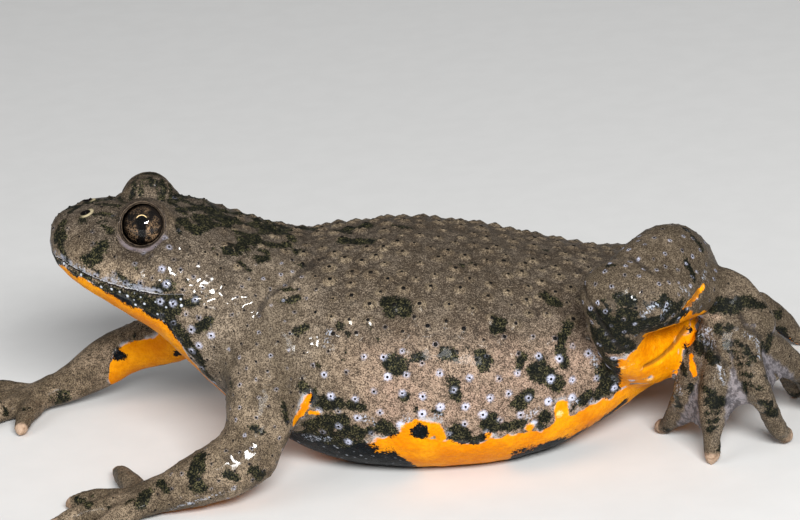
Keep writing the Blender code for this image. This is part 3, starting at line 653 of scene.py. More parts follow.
def largest(obj):
    """Keeps only the largest closed surface of an object."""
    bm = bmesh.new()
    bm.from_mesh(obj.data)
    unseen, islands = set(bm.verts), []
    while unseen:
        island, shore = [], [unseen.pop()]
        while shore:
            vert = shore.pop()
            island.append(vert)
            for link in vert.link_edges:
                other = link.other_vert(vert)
                if other in unseen:
                    unseen.remove(other)
                    shore.append(other)
        islands.append(island)
    islands.sort(key=len)
    bmesh.ops.delete(bm, geom=[v for island in islands[:-1] for v in island], context="VERTS")
    bm.to_mesh(obj.data)
    bm.free()
    return obj


def skin_tree(obj):
    return BVHTree.FromPolygons([v.co for v in obj.data.vertices], [p.vertices for p in obj.data.polygons])


def on_skin(tree, place):
    """The point of the flesh nearest to a place, and the way out of it there."""
    spot, normal = tree.find_nearest(Vector(place) * MM)[:2]
    return spot / MM, normal


# The toad's flesh.
def trunk(into):
    """Head and trunk: rounded sections, squarer below, where the belly sags on the floor."""
    angles = np.linspace(0, 2 * math.pi, TRUNK_SIDES, endpoint=False)
    upper = np.sin(angles) >= 0
    power = np.where(upper, 2 / BACK_SQUARENESS, 2 / BELLY_SQUARENESS)
    across, up = signed_power(np.cos(angles), power), signed_power(np.sin(angles), power)
    rings = []
    for x, top, bottom, half_width, widest in spline(SPINE, TRUNK_STEPS):
        heights = widest + np.where(upper, top - widest, widest - bottom) * up
        rings.append(np.stack([np.full(len(angles), x), half_width * across, heights], axis=1))
    return loft("trunk", rings, into)


def limb(name, joints, into, across=None):
    """An oval limb along its joints with round ends. across is the way over a palm or foot."""
    rows = spline(joints, LIMB_STEPS)
    along = np.gradient(rows[:, :3], axis=0)
    along /= np.linalg.norm(along, axis=1)[:, None]
    angles = np.linspace(0, 2 * math.pi, LIMB_SIDES, endpoint=False)
    rings = []

    def ring(middle, way, wide, high):
        side = np.cross(way, (0.0, 0.0, 1.0)) if across is None else across - way * np.dot(across, way)
        side /= np.linalg.norm(side)
        up = np.cross(side, way)
        rings.append(middle + np.outer(np.cos(angles) * wide, side) + np.outer(np.sin(angles) * high, up))

    def dome(row, way, turns):
        for turn in turns:
            middle = row[:3] + way * row[4] * math.sin(turn)
            ring(middle, way, row[3] * math.cos(turn), row[4] * math.cos(turn))

    quarter = [math.radians(angle) for angle in (30, 60, 80)]
    dome(rows[0], along[0], [-turn for turn in reversed(quarter)])
    for row, way in zip(rows, along):
        ring(row[:3], way, row[3], row[4])
    dome(rows[-1], along[-1], quarter)
    return loft(name, rings, into)


def digit_path(points):
    """A digit's centreline, which bends down at the knuckle so that its last stretch lies flatter."""
    root, knuckle, tip = (np.array(point) for point in points)
    rest = knuckle * 0.35 + tip * 0.65
    rest[2] = tip[2] + 0.12 + 0.5 * (rest[2] - tip[2])
    return spline([root, knuckle, rest, tip], 5)


def digit(name, points, radii, into):
    """A finger or toe: a tapering curve with a slightly swollen, round tip."""
    path = digit_path(points)
    share = np.linspace(0, 1, len(path))
    thickness = np.interp(share, (0, 0.5, 0.84, 1), (radii[0], radii[1], radii[2], radii[2] * TIP_SWELL))
    out = path[-1] - path[-2]
    out /= np.linalg.norm(out)
    for turn in (35, 60, 80):
        path = np.vstack([path, path[-1] + out * radii[2] * 0.4])
        thickness = np.append(thickness, radii[2] * math.cos(math.radians(turn)))
    data = bpy.data.curves.new(name, "CURVE")
    data.dimensions = "3D"
    data.bevel_depth = MM
    data.bevel_resolution = 3
    data.use_fill_caps = True
    line = data.splines.new("POLY")
    line.points.add(len(path) - 1)
    for point, place, radius in zip(line.points, path, thickness):
        point.co = (*(place * MM), 1.0)
        point.radius = radius
    return placed(name, data, into)


def web(name, first, second, reach, into):
    """The skin between two digits: a sheet from one centreline to the other, with a hollow free edge."""
    paths = digit_path(first), digit_path(second)
    points = []
    for share in np.linspace(0, 1, WEB_STEPS):
        for a in np.linspace(0, 1, WEB_STEPS):
            hollow = 1 - WEB_HOLLOW * math.sin(math.pi * a)
            at = share * (reach[0] * (1 - a) + reach[1] * a) * hollow * (len(paths[0]) - 1)
            low = min(int(at), len(paths[0]) - 2)
            one, two = (path[low] + (path[low + 1] - path[low]) * (at - low) for path in paths)
            points.append(tuple((one * (1 - a) + two * a) * MM))
    faces = [
        (k, k + 1, k + WEB_STEPS + 1, k + WEB_STEPS)
        for k in range(WEB_STEPS * (WEB_STEPS - 1))
        if k % WEB_STEPS < WEB_STEPS - 1
    ]
    mesh = bpy.data.meshes.new(name)
    mesh.from_pydata(points, [], faces)
    made = placed(name, mesh, into)
    skin = made.modifiers.new("thickness", "SOLIDIFY")
    skin.thickness = WEB_THICKNESS * MM
    skin.offset = 0.0
    return made


def hand_or_foot(name, into):
    """The overlapping pieces of one hand or foot."""
    kind = name.split("_")[0]
    digits = DIGITS[name]
    pieces = [limb(f"{name}_palm", PALMS[name], into, np.array(ACROSS[name]))]
    for k, points in enumerate(digits):
        pieces.append(digit(f"{name}_digit_{k}", points, DIGIT_RADIUS[kind], into))
    for k, (first, second) in enumerate(zip(digits, digits[1:])):
        pieces.append(web(f"{name}_web_{k}", first, second, WEB_REACH[kind][k], into))
    return pieces


def flesh(into):
    """The whole toad as one closed skin, before nostrils and eye sockets are cut."""
    core = [trunk(into)] + [limb(name, joints, into) for name, joints in {**LIMBS, **GROINS}.items()]
    core = fused("core", core, CORE_VOXEL, CREASE_ROUNDS, into)
    pieces = [core]
    for name in PALMS:
        pieces += hand_or_foot(name, into)
    tree = skin_tree(core)
    for side in SIDES:
        pieces.append(ball(f"lid_{side.name}", side.eye, LID_RADIUS, into))
        spot, out = on_skin(tree, side.nostril)
        middle = spot - out * NOSTRIL_RIM_SUNK
        pieces.append(ball(f"nostril_rim_{side.name}", middle, NOSTRIL_RIM_RADIUS, into, 16))
    return fused("flesh", pieces, VOXEL, SMOOTH_ROUNDS, into)


def skin_mesh(into):
    """The flesh, fine enough to carry warts, with open eye sockets and nostrils, and a tree of it uncut."""
    body = flesh(into)
    tree = skin_tree(body)
    for side in SIDES:
        body = cut(body, peg(f"opening_{side.name}", side.eye, side.gaze, *OPENING, into))
        body = cut(body, ball(f"socket_{side.name}", side.eye, EYE_RADIUS + SOCKET_GAP, into, 64))
        foot = on_skin(tree, side.nostril)[0] - side.way * NOSTRIL_DEPTH
        body = cut(body, peg(f"nostril_{side.name}", foot, side.way, *NOSTRIL_CONE, into))
    return largest(resurfaced(body, SKIN_VOXEL, SMOOTH_ROUNDS)), tree


# Fields over the skin, as one number for each of its points.
def wave(points, size, seed):
    """Smooth random values from -1 to 1 that change over size millimetres."""
    scaled = points / size + seed * 7.31
    cell = np.floor(scaled).astype(np.int64)
    part = scaled - cell
    ease = part * part * (3 - 2 * part)
    total = np.zeros(len(points))
    for corner in np.ndindex(2, 2, 2):
        x, y, z = (cell + corner).T
        mixed = (x * PLACE_HASH[0]) ^ (y * PLACE_HASH[1]) ^ (z * PLACE_HASH[2]) ^ (seed * SEED_HASH)
        mixed = (mixed ^ (mixed >> 13)) * MIXED_HASH & 0x7FFFFFFF
        value = (mixed & 0xFFFF) / 32767.5 - 1
        weight = np.where(np.array(corner) == 1, ease, 1 - ease).prod(axis=1)
        total += value * weight
    return total


def waves(toad, name):
    return sum(height * wave(toad.at, size, seed) for height, size, seed in WAVES[name])


def near(points, places):
    """For each point, how far the nearest place is and which one it is."""
    tree = KDTree(len(places))
    for k, place in enumerate(places):
        tree.insert(place, k)
    tree.balance()
    found = [tree.find(point) for point in points]
    return np.array([f[2] for f in found]), np.array([f[1] for f in found])


def step(values, low, high):
    """0 below low, 1 above high and smooth between."""
    share = np.clip((values - low) / (high - low), 0, 1)
    return share * share * (3 - 2 * share)


def hill(distance, width):
    """1 at no distance, and fading out over about width to both sides."""
    return np.exp(-((distance / width) ** 2))


def away_from(toad, place):
    return np.linalg.norm(toad.at - np.array(place), axis=1)


def camera_turn():
    """The camera's axes and place: a long lens from the animal's left, a little above it and leaning."""
    ahead = Vector((0, math.cos(ELEVATION), -math.sin(ELEVATION)))
    right = Vector((1, 0, 0))
    up = right.cross(ahead)
    across = right * math.cos(LEAN) - up * math.sin(LEAN)
    above = right * math.sin(LEAN) + up * math.cos(LEAN)
    turn = Matrix((across, above, -ahead)).transposed().to_4x4()
    turn.translation = (AIM - ahead * DISTANCE) * MM
    return turn


def seen(tree, pixel):
    """The point of the skin that shows at a pixel of the picture, or None."""
    turn = camera_turn()
    width, height = PICTURE
    across, up = (pixel[0] - width / 2) / width, (height / 2 - pixel[1]) / width
    way = turn.to_3x3() @ Vector((across * SENSOR, up * SENSOR, -LENS))
    spot = tree.ray_cast(turn.translation, way.normalized())[0]
    return None if spot is None else np.array(spot) / MM


def stroke_field(points, tree, marks, draw=None):
    """How deep in the nearest stroke each point is, in mm. With draw, the strokes move to the far side."""
    field = np.full(len(points), OUT)
    order = np.argsort(points[:, 0])
    along = points[order, 0]
    for radius, *pixels in [stroke for strokes in marks.values() for stroke in strokes]:
        places = [place for place in (seen(tree, pixel) for pixel in pixels) if place is not None]
        if draw is not None:
            shift = draw.uniform(-FAR_SHIFT, FAR_SHIFT, 3)
            places = [np.array(on_skin(tree, place * (1, -1, 1) + shift)[0]) for place in places]
        reach = radius * PIXEL
        for start, end in zip(places, places[1:] or places):
            low, high = np.minimum(start, end) - reach - 0.8, np.maximum(start, end) + reach + 0.8
            slab = order[np.searchsorted(along, low[0]) : np.searchsorted(along, high[0])]
            slab = slab[np.all((points[slab] > low) & (points[slab] < high), axis=1)]
            way = end - start
            share = np.clip((points[slab] - start) @ way / max(way @ way, 1e-9), 0, 1)
            distance = np.linalg.norm(points[slab] - start - np.outer(share, way), axis=1)
            field[slab] = np.maximum(field[slab], reach - distance)
    return field


def on_both_sides(toad, tree, marks, draw, left_out=()):
    """Strokes on the near side, and all but those left out on the far side too."""
    field = stroke_field(toad.at, tree, marks)
    far = stroke_field(toad.at, tree, {name: marks[name] for name in marks if name not in left_out}, draw)
    return np.maximum(field, np.where(toad.at[:, 1] > 0, far, OUT))


def of_mesh(mesh, what):
    flat = np.empty(len(mesh.vertices) * 3, np.float32)
    mesh.vertices.foreach_get(what, flat)
    return flat.reshape(-1, 3).astype(float)


def places_of(mesh):
    return of_mesh(mesh, "co") / MM


def move_to(mesh, places):
    mesh.vertices.foreach_set("co", (places * MM).astype(np.float32).ravel())
    mesh.update()


def keep_fields(mesh, **fields):
    """Stores fields on the mesh, where the materials read them by name."""
    for name, values in fields.items():
        layer = mesh.attributes.new(name, "FLOAT", "POINT")
        layer.data.foreach_set("value", np.asarray(values, np.float32))


def limb_map():
    """Points along every limb and digit, with their radius, limb and share of the way from root to tip."""
    rows = []
    for name, joints in {**LIMBS, **PALMS}.items():
        for place in spline(joints, 6):
            rows.append((*place[:3], max(place[3:]), name, 0.0))
    for name, digits in DIGITS.items():
        radii = DIGIT_RADIUS[name.split("_")[0]]
        for points in digits:
            path = digit_path(points)
            for k, place in enumerate(path):
                share = k / (len(path) - 1)
                rows.append((*place, radii[0] + (radii[2] - radii[0]) * share, name, share))
    return rows


class Toad:
    """Where each point of the skin is on the animal."""

    def __init__(self, mesh):
        self.at = places_of(mesh)
        self.out = of_mesh(mesh, "normal")
        x, z = self.at[:, 0], self.at[:, 2]
        rows = limb_map()
        distance, nearest = near(self.at, [row[:3] for row in rows])
        radius, name, share = (np.array(column)[nearest] for column in list(zip(*rows))[3:])
        self.limb = 1 - step(distance / radius, 1.15, 1.5)
        self.limb *= np.where((x < NECK) & (z > 11.5), 0.0, 1.0)
        reaching_ahead = (x < -13.5) & (z < 6)
        reaching_behind = (x > 24.5) | ((x > 19.5) & (z < 5))
        self.limb[reaching_ahead | reaching_behind] = 1.0
        under = np.array([UNDERSIDES[limb] for limb in name])
        under /= np.linalg.norm(under, axis=1)[:, None]
        self.under = (self.out * under).sum(axis=1)
        self.digit = share * self.limb
        self.foot = np.array([limb.startswith(("hand", "foot")) for limb in name]) * self.limb
        beside_digit = (share > 0) & (distance < 2.2)
        self.web = step(distance / radius, 1.05, 1.25) * beside_digit * (x > 19.0)
        self.border = np.interp(x, *np.array(BORDER).T)


# The surface of the skin.
def wart_spacing(toad):
    """How far apart warts stand, in millimetres; none where it is 0."""
    x, z = toad.at[:, 0], toad.at[:, 2]
    spacing = np.full(len(x), WART_SPACING["side"])
    spacing = np.where(toad.out[:, 2] > 0.55, WART_SPACING["back"], spacing)
    spacing = np.where(x < MOUTH_END, WART_SPACING["face"], spacing)
    spacing = np.where(toad.limb > 0.5, WART_SPACING["limb"], spacing)
    spacing = np.where(toad.foot > 0.5, WART_SPACING["foot"], spacing)
    smooth_skin = (z < toad.border + 0.4) & (toad.limb < 0.5)
    smooth_skin |= (toad.limb > 0.5) & (toad.under > 0.3)
    smooth_skin |= (toad.digit > 0.2) | (toad.web > 0.1)
    smooth_skin |= (x < -22.5) & (z < 18.6)
    for side in SIDES:
        smooth_skin |= away_from(toad, side.eye) < LID_RADIUS + 0.35
        smooth_skin |= away_from(toad, side.nostril) < 1.1
    return np.where(smooth_skin, 0.0, spacing)


def wart_choice(toad):
    """Points of the skin that become warts, each at least its spacing away from the others."""
    draw = np.random.default_rng(WART_SEED)
    spacing = wart_spacing(toad)
    order = draw.permutation(np.flatnonzero(spacing > 0))[:WART_TRIES]
    loose = draw.uniform(*WART_LOOSENESS, len(spacing))
    cells, chosen = {}, []
    for k in order:
        place, apart = toad.at[k], spacing[k] * loose[k]
        cell = tuple((place // WART_CELL).astype(int))
        close = [
            other
            for shift in np.ndindex(3, 3, 3)
            for other in cells.get(tuple(np.array(cell) + shift - 1), ())
        ]
        if all(np.sum((toad.at[other] - place) ** 2) > apart**2 for other in close):
            cells.setdefault(cell, []).append(k)
            chosen.append(k)
    return np.array(chosen)


def mouth_field(toad):
    """How far each point of the face is above the line between the lips, or below it where negative."""
    half = spline(MOUTH, 12)
    line = np.vstack([half[:0:-1] * (1, -1, 1), half])
    face = toad.at[:, 0] < MOUTH_END
    gap, nearest = near(toad.at[face], line)
    mouth = np.full(len(face), -OUT)
    mouth[face] = gap * np.where(toad.at[face, 2] > line[nearest, 2], 1, -1)
    return mouth


def nostril_fields(toad, tree):
    """How far each point is from the middle of a nostril, and how far round to its hind rim, whose paleness
    is partly its own skin and partly a painted highlight.
    """
    nostril, rim = np.full(len(toad.at), -OUT), np.zeros(len(toad.at))
    for side in SIDES:
        away = toad.at - np.array(on_skin(tree, side.nostril)[0])
        beside = away - np.outer(away @ np.array(side.way), side.way)
        aside = np.where(np.linalg.norm(away, axis=1) < 1.3, np.linalg.norm(beside, axis=1), -OUT)
        nostril = np.minimum(nostril, aside)
        rim = np.where(aside < 1, step(beside @ (0.8, 0, -0.5) / np.maximum(aside, 0.05), -0.3, 0.5), rim)
    return nostril, rim


def lid_fields(toad):
    """How far each point is from the gaze, if it is below the eye, and the furrow round the lids."""
    lid = np.full(len(toad.at), -OUT)
    lower, furrow = np.zeros((2, len(toad.at)))
    for side in SIDES:
        away = toad.at - np.array(side.eye)
        along = away @ np.array(side.gaze)
        ring = np.linalg.norm(away - np.outer(along, side.gaze), axis=1)
        close = (along > 0) & (ring < 3.6)
        lid = np.where(close, np.minimum(lid, ring), lid)
        lower = np.where(close, step(-away[:, 2] / np.maximum(ring, 0.1), -0.1, 0.5), lower)
        furrow += hill(away_from(toad, side.eye) - LID_RADIUS - 0.55, 0.4) * step(away[:, 2], 0.2, 1.2)
    return lid, lower, furrow


def shape_skin(mesh, tree):
    """Raises warts, lids, lips, folds and toe creases, and keeps where they are as fields."""
    toad = Toad(mesh)
    x, y, z = toad.at.T
    draw = np.random.default_rng(WART_SEED + 1)
    chosen = wart_choice(toad)
    size = draw.uniform(*WART_SIZES, len(chosen))
    distance, which = near(toad.at, [toad.at[k] for k in chosen])
    wart_x, body = x[chosen], 1 - toad.limb[chosen]
    on_back = step(toad.out[chosen, 2], 0.2, 0.75) * body * step(-np.abs(wart_x - 4), -19.5, -16)
    radius = (WART_RADIUS + WART_RADIUS * on_back) * size
    height = (WART_HEIGHT + BACK_WART_HEIGHT * on_back) * size
    cone = (1 - np.clip(distance / radius[which], 0, 1) ** 2) ** 2
    lift = height[which] * cone + waves(toad, "skin")

    mouth = mouth_field(toad)
    lift -= LIP_GROOVE * hill(mouth, 0.11)
    lift += 0.05 * hill(mouth - 0.3, 0.18) + 0.03 * hill(mouth + 0.4, 0.25)
    nostril, rim = nostril_fields(toad, tree)
    lid, lower, furrow = lid_fields(toad)
    lift -= LID_FURROW * furrow
    lift += LID_RING * np.cos((lid - APERTURE) * 2 * math.pi / 0.42) * hill(lid - 1.9, 0.5)

    crease = hill(np.minimum(stroke_field(toad.at, tree, CREASES), 0), 0.2)
    lift -= CREASE_DEPTH * crease
    uneven = step(stroke_field(toad.at, tree, WET), -0.5, 0.3) * np.where(z > 13, 1.35, 1.0)
    uneven *= np.where(x > 12, 1.4, 1.0)
    lift += uneven * waves(toad, "wet skin")
    lift -= FOLD_DEPTH * hill(away_from(toad, ARM_PIT) - FOLD_RADIUS, 0.35) * (y < -5) * (z > 9)
    toe_creases = (0.5 + 0.5 * np.sin(toad.digit * 46)) ** 6
    lift -= TOE_CREASE_DEPTH * toe_creases * step(toad.digit, 0.05, 0.3) * (toad.under < 0.4)

    moved = toad.at + toad.out * lift[:, None]
    moved[:, 2] = np.maximum(moved[:, 2], ABOVE_FLOOR)
    move_to(mesh, moved)

    low = step(toad.border[chosen] - z[chosen], -11.0, -4.0) * body
    pale_sides = np.maximum(low, 0.55 * toad.limb[chosen])
    paleness = draw.uniform(0.35, 1.0, len(chosen)) ** 1.4
    paleness *= (0.38 + 0.62 * pale_sides) * (1 - 0.6 * on_back)
    paleness *= np.interp(wart_x, (-21, -17, -12, -8, -4), (0.2, 0.6, 0.75, 0.75, 1.0))
    paleness *= 1 - toad.foot[chosen]
    reach = 0.15 + 0.13 * low
    # Warts that face up get paler tops: partly their own pale tips, partly painted light on the tops.
    raised = step(toad.out[chosen, 2], 0.45, 0.95) * body
    raised *= np.where(wart_x < NECK, 0.35, 1.0) * draw.uniform(0.45, 1.0, len(chosen))
    toad.mouth = mouth
    keep_fields(mesh, halo=paleness[which] * hill(distance, reach[which]), cone=cone * raised[which])
    keep_fields(mesh, crease=crease, lip=mouth, lid=lid, lower_lid=lower, nostril=nostril, nostril_rim=rim)
    return toad, chosen, size


def mark_skin(mesh, toad, tree):
    """Keeps the fields of colour: above 0 is inside a marking, and the number is about its depth in mm."""
    x, y, z = toad.at.T
    up = toad.out[:, 2]
    draw = np.random.default_rng(MARKING_SEED)
    on_trunk = 1 - toad.limb
    ragged, edge = waves(toad, "border"), waves(toad, "edge")

    shown = np.where(toad.foot > 0.5, 0.85, 0.5)
    belly = (toad.border - z + ragged) * on_trunk + toad.limb * 2.4 * (toad.under - shown + 0.3 * ragged)
    belly -= 4 * toad.web
    belly = np.where((toad.foot > 0.5) & (y < 0), OUT, belly) - 3 * step(-x, 22.5, 24.5) * (y > 6)
    belly = np.maximum(belly, on_both_sides(toad, tree, ORANGE, draw, left_out=("groin",)) + 0.5 * edge)

    blotch = on_both_sides(toad, tree, DARK, draw, left_out=("knee", "foot", "arm", "far eye"))
    above = step(up, 0.3, 0.65) * on_trunk
    crown = step(-x, 5.0, 9.0) * step(x, -17.5, -14.5) * step(-np.abs(y), -6.5, -4.0)
    blotch = np.maximum(blotch, np.where(above > 0.2, waves(toad, "back spots") - 0.85 + 0.8 * crown, OUT))
    deep = (belly > 0.7) & (toad.limb < 0.5) & (up < -0.55) & (y > -6.5)
    blotch = np.maximum(blotch, np.where(deep, waves(toad, "belly spots") - 0.65, OUT))
    under_lip = np.minimum(-toad.mouth - 0.1, 2.1 + toad.mouth)
    jaw = np.where(x < MOUTH_END, np.minimum(under_lip, 0.12 - belly), OUT)
    # Black where the skin turns down under the flank: partly the belly's own blue-black, partly painted
    # shadow under the body.
    turned = np.interp(x, *np.array(KEEL).T)
    keel = np.where(on_trunk > 0.5, np.minimum(3 * (turned - up), 1.5) + 0.5 * ragged, OUT)
    keel = np.where(np.abs(y) > 5, keel, OUT)
    blotch = np.maximum(blotch, np.maximum(jaw, keel))
    bars = 0.5 * np.sin(toad.digit * 17 + 2) * step(toad.digit, 0.02, 0.2) - 0.1
    barred = (toad.limb > 0.5) & ((y > 0) | (toad.digit > 0.3))
    blotch = np.maximum(blotch, np.where(barred, waves(toad, "limb spots") + bars - 0.55, OUT))

    # Bluish-white specks: partly the skin's own, partly painted highlights of wet skin.
    bloom = on_both_sides(toad, tree, SPECKS_AND_SHEEN, draw)
    wet = on_both_sides(toad, tree, WET, draw)
    toad.belly = belly
    specks = np.maximum(step(jaw, -0.1, 0.1), 0.45 * step(keel, 0.1, 0.5) * step(-x, 0, 3))
    keep_fields(mesh, belly=belly, blotch=blotch + edge, specks=specks)
    keep_fields(mesh, bloom=step(bloom + 0.5 * edge, -0.12, 0.18), wet=step(wet, -0.3, 0.5))
    keep_fields(mesh, pink=step(-z, -14.0, -9.0) * on_trunk * step(x, -7, -1))
    # back: where the skin faces up, darkened in the materials, partly its own darker ground and partly
    # painted shade over the top.
    keep_fields(mesh, back=step(up + waves(toad, "back"), 0.25, 0.95) * on_trunk)
    keep_fields(mesh, grey=step(-away_from(toad, SHOULDER), -14, -7))
    keep_fields(mesh, digit=toad.digit, web=toad.web, limb=toad.limb, hind=toad.limb * step(x, 9, 13))


def spines(mesh, toad, chosen, size, into):
    """The horny black tip of each wart, as one mesh of small cones."""
    places, outs = places_of(mesh), of_mesh(mesh, "normal")
    points, faces = [], []
    for k, grown in zip(chosen, size):
        if toad.belly[k] > -0.1:
            continue
        out = Vector(outs[k])
        turn = out.to_track_quat("Z", "Y")
        foot = Vector(places[k]) - out * SPINE_DEPTH
        above = outs[k][2] > 0.5 and places[k][0] > NECK and toad.limb[k] < 0.5
        radius = (BACK_SPINE_RADIUS if above else SPINE_RADIUS) * grown
        high_up = grown * (0.6 if above else 1.0 - 0.5 * toad.limb[k])
        first = len(points)
        for ring, (wide, high) in enumerate(SPINE_RINGS):
            for s in range(SPINE_SIDES):
                angle = 2 * math.pi * (s + 0.5 * ring) / SPINE_SIDES
                flat = wide * radius
                offset = Vector((math.cos(angle) * flat, math.sin(angle) * flat, high * high_up))
                points.append(tuple((foot + turn @ offset) * MM))
        last = len(points) - SPINE_SIDES
        points.append(tuple((foot + out * SPINE_HEIGHT * high_up) * MM))
        faces += bands(len(SPINE_RINGS), SPINE_SIDES, first) + fan(last, SPINE_SIDES, len(points) - 1)
    made = bpy.data.meshes.new("wart_spines")
    made.from_pydata(points, [], faces)
    made.shade_smooth()
    return placed("wart_spines", made, into)


# The eyes.
def lathe(name, profile, centre, gaze, into):
    """A round body about the gaze: profile gives radius and height along the gaze, in eye radii."""
    turn = gaze.to_track_quat("Z", "Y")
    angles = [2 * math.pi * s / EYE_SIDES for s in range(EYE_SIDES)]
    where = [Vector((r * math.cos(a), r * math.sin(a), height)) for r, height in profile for a in angles]
    ends = [tuple(range(EYE_SIDES)), tuple(reversed(range(len(where) - EYE_SIDES, len(where))))]
    points = [centre + turn @ local * EYE_RADIUS for local in where]
    obj = solid(name, points, bands(len(profile), EYE_SIDES) + ends, into)
    layer = obj.data.attributes.new("gaze_place", "FLOAT_VECTOR", "POINT")
    layer.data.foreach_set("vector", np.array(where, np.float32).ravel())
    obj.data.shade_smooth()
    return obj


def eye_pair(side, into):
    """An eyeball whose iris is a shallow ridged dish, and the clear cornea over it."""
    share = EYEBALL_SHARE
    back = [(share * math.sin(a), share * math.cos(a)) for a in np.radians(np.linspace(54, 178, 40))]
    dome = [(math.sin(a), math.cos(a)) for a in np.radians(np.linspace(1, 179, 60))]
    eyeball = lathe(f"eyeball_{side.name}", [*IRIS, *back], side.eye, side.gaze, into)
    return eyeball, lathe(f"cornea_{side.name}", dome, side.eye, side.gaze, into)


# Colours in linear light. A pair runs from the darker to the lighter patches of one finish.
TAN = (0.15, 0.11, 0.068), (0.33, 0.25, 0.17)
SHOULDER_GREY = (0.27, 0.235, 0.195)
FLANK_PINK = (0.4, 0.27, 0.2)
# The back's dark ground and valleys: partly their own colour, partly painted shade over the top and between
# the warts.
BACK_VALLEYS = (0.036, 0.028, 0.02), (0.09, 0.075, 0.06)
# Paler tops of warts that face up: partly their own pale tips, partly painted light on the tops.
WART_TOPS = (0.15, 0.11, 0.07), (0.27, 0.21, 0.135)
LIMB_BROWN = (0.085, 0.066, 0.04)
HIND_BROWN = (0.06, 0.05, 0.036)
CLOUDS = (0.07, 0.052, 0.034)
FINE_CLOUDS = (0.06, 0.045, 0.03)
DARK_FRECKLES = (0.024, 0.017, 0.012)
CRACKS = (0.012, 0.01, 0.008)
LIGHT_FRECKLES = (0.46, 0.37, 0.27)
DARK_DUST = (0.04, 0.03, 0.022)
BLOTCHES = (0.004, 0.005, 0.004), (0.085, 0.076, 0.036)
WART_HALOS = (0.52, 0.54, 0.68)
ORANGE_SKIN = (0.62, 0.19, 0.0), (0.76, 0.3, 0.002)
DEEP_ORANGE = (0.5, 0.125, 0.0)
PALE_ORANGE = (1.0, 0.62, 0.25)
BELLY_BLACK = (0.002, 0.003, 0.004), (0.04, 0.05, 0.065)
PALE_RIM = (0.5, 0.52, 0.56)
# Bluish-white specks: partly the skin's own, partly painted highlights of wet skin.
BLUISH_SPECKS_AND_SHEEN = (0.4, 0.44, 0.52)
LIP_BAND = (0.27, 0.28, 0.33)
LIP_LINE = (0.6, 0.6, 0.62)
MOUTH_DARK = (0.01, 0.009, 0.008)
JAW_SPECKS = (0.62, 0.66, 0.74)
LID_RINGS = (0.012, 0.009, 0.008), (0.085, 0.062, 0.042)
LID_CRESCENT = (0.22, 0.185, 0.21)
# The nostril's pale hind rim: partly its own paler skin, partly a painted highlight.
NOSTRIL_RIM = (0.52, 0.44, 0.27)
# Painted shade in each nostril's hole and on its inner walls.
PAINTED_NOSTRIL_SHADE = (0.004, 0.003, 0.003)
# Painted shade in the creases.
PAINTED_CREASE_SHADE = (0.015, 0.013, 0.012)
WEB_SKIN = (0.06, 0.055, 0.06), (0.17, 0.155, 0.165)
TOE_TIPS = (0.26, 0.17, 0.11), (0.44, 0.31, 0.22)
HORN = (0.002, 0.002, 0.002), (0.009, 0.007, 0.005)
IRIS_GOLD = (0.004, 0.003, 0.0025), (0.38, 0.24, 0.135)
GOLD_RING = (0.9, 0.66, 0.34)
PUPIL = (0.001, 0.001, 0.001)
IRIS_RIM = (0.008, 0.006, 0.005)
BOARD = (0.62, 0.62, 0.61), (0.635, 0.635, 0.625)
ROOM_LIGHT = (0.58, 0.58, 0.6, 1)


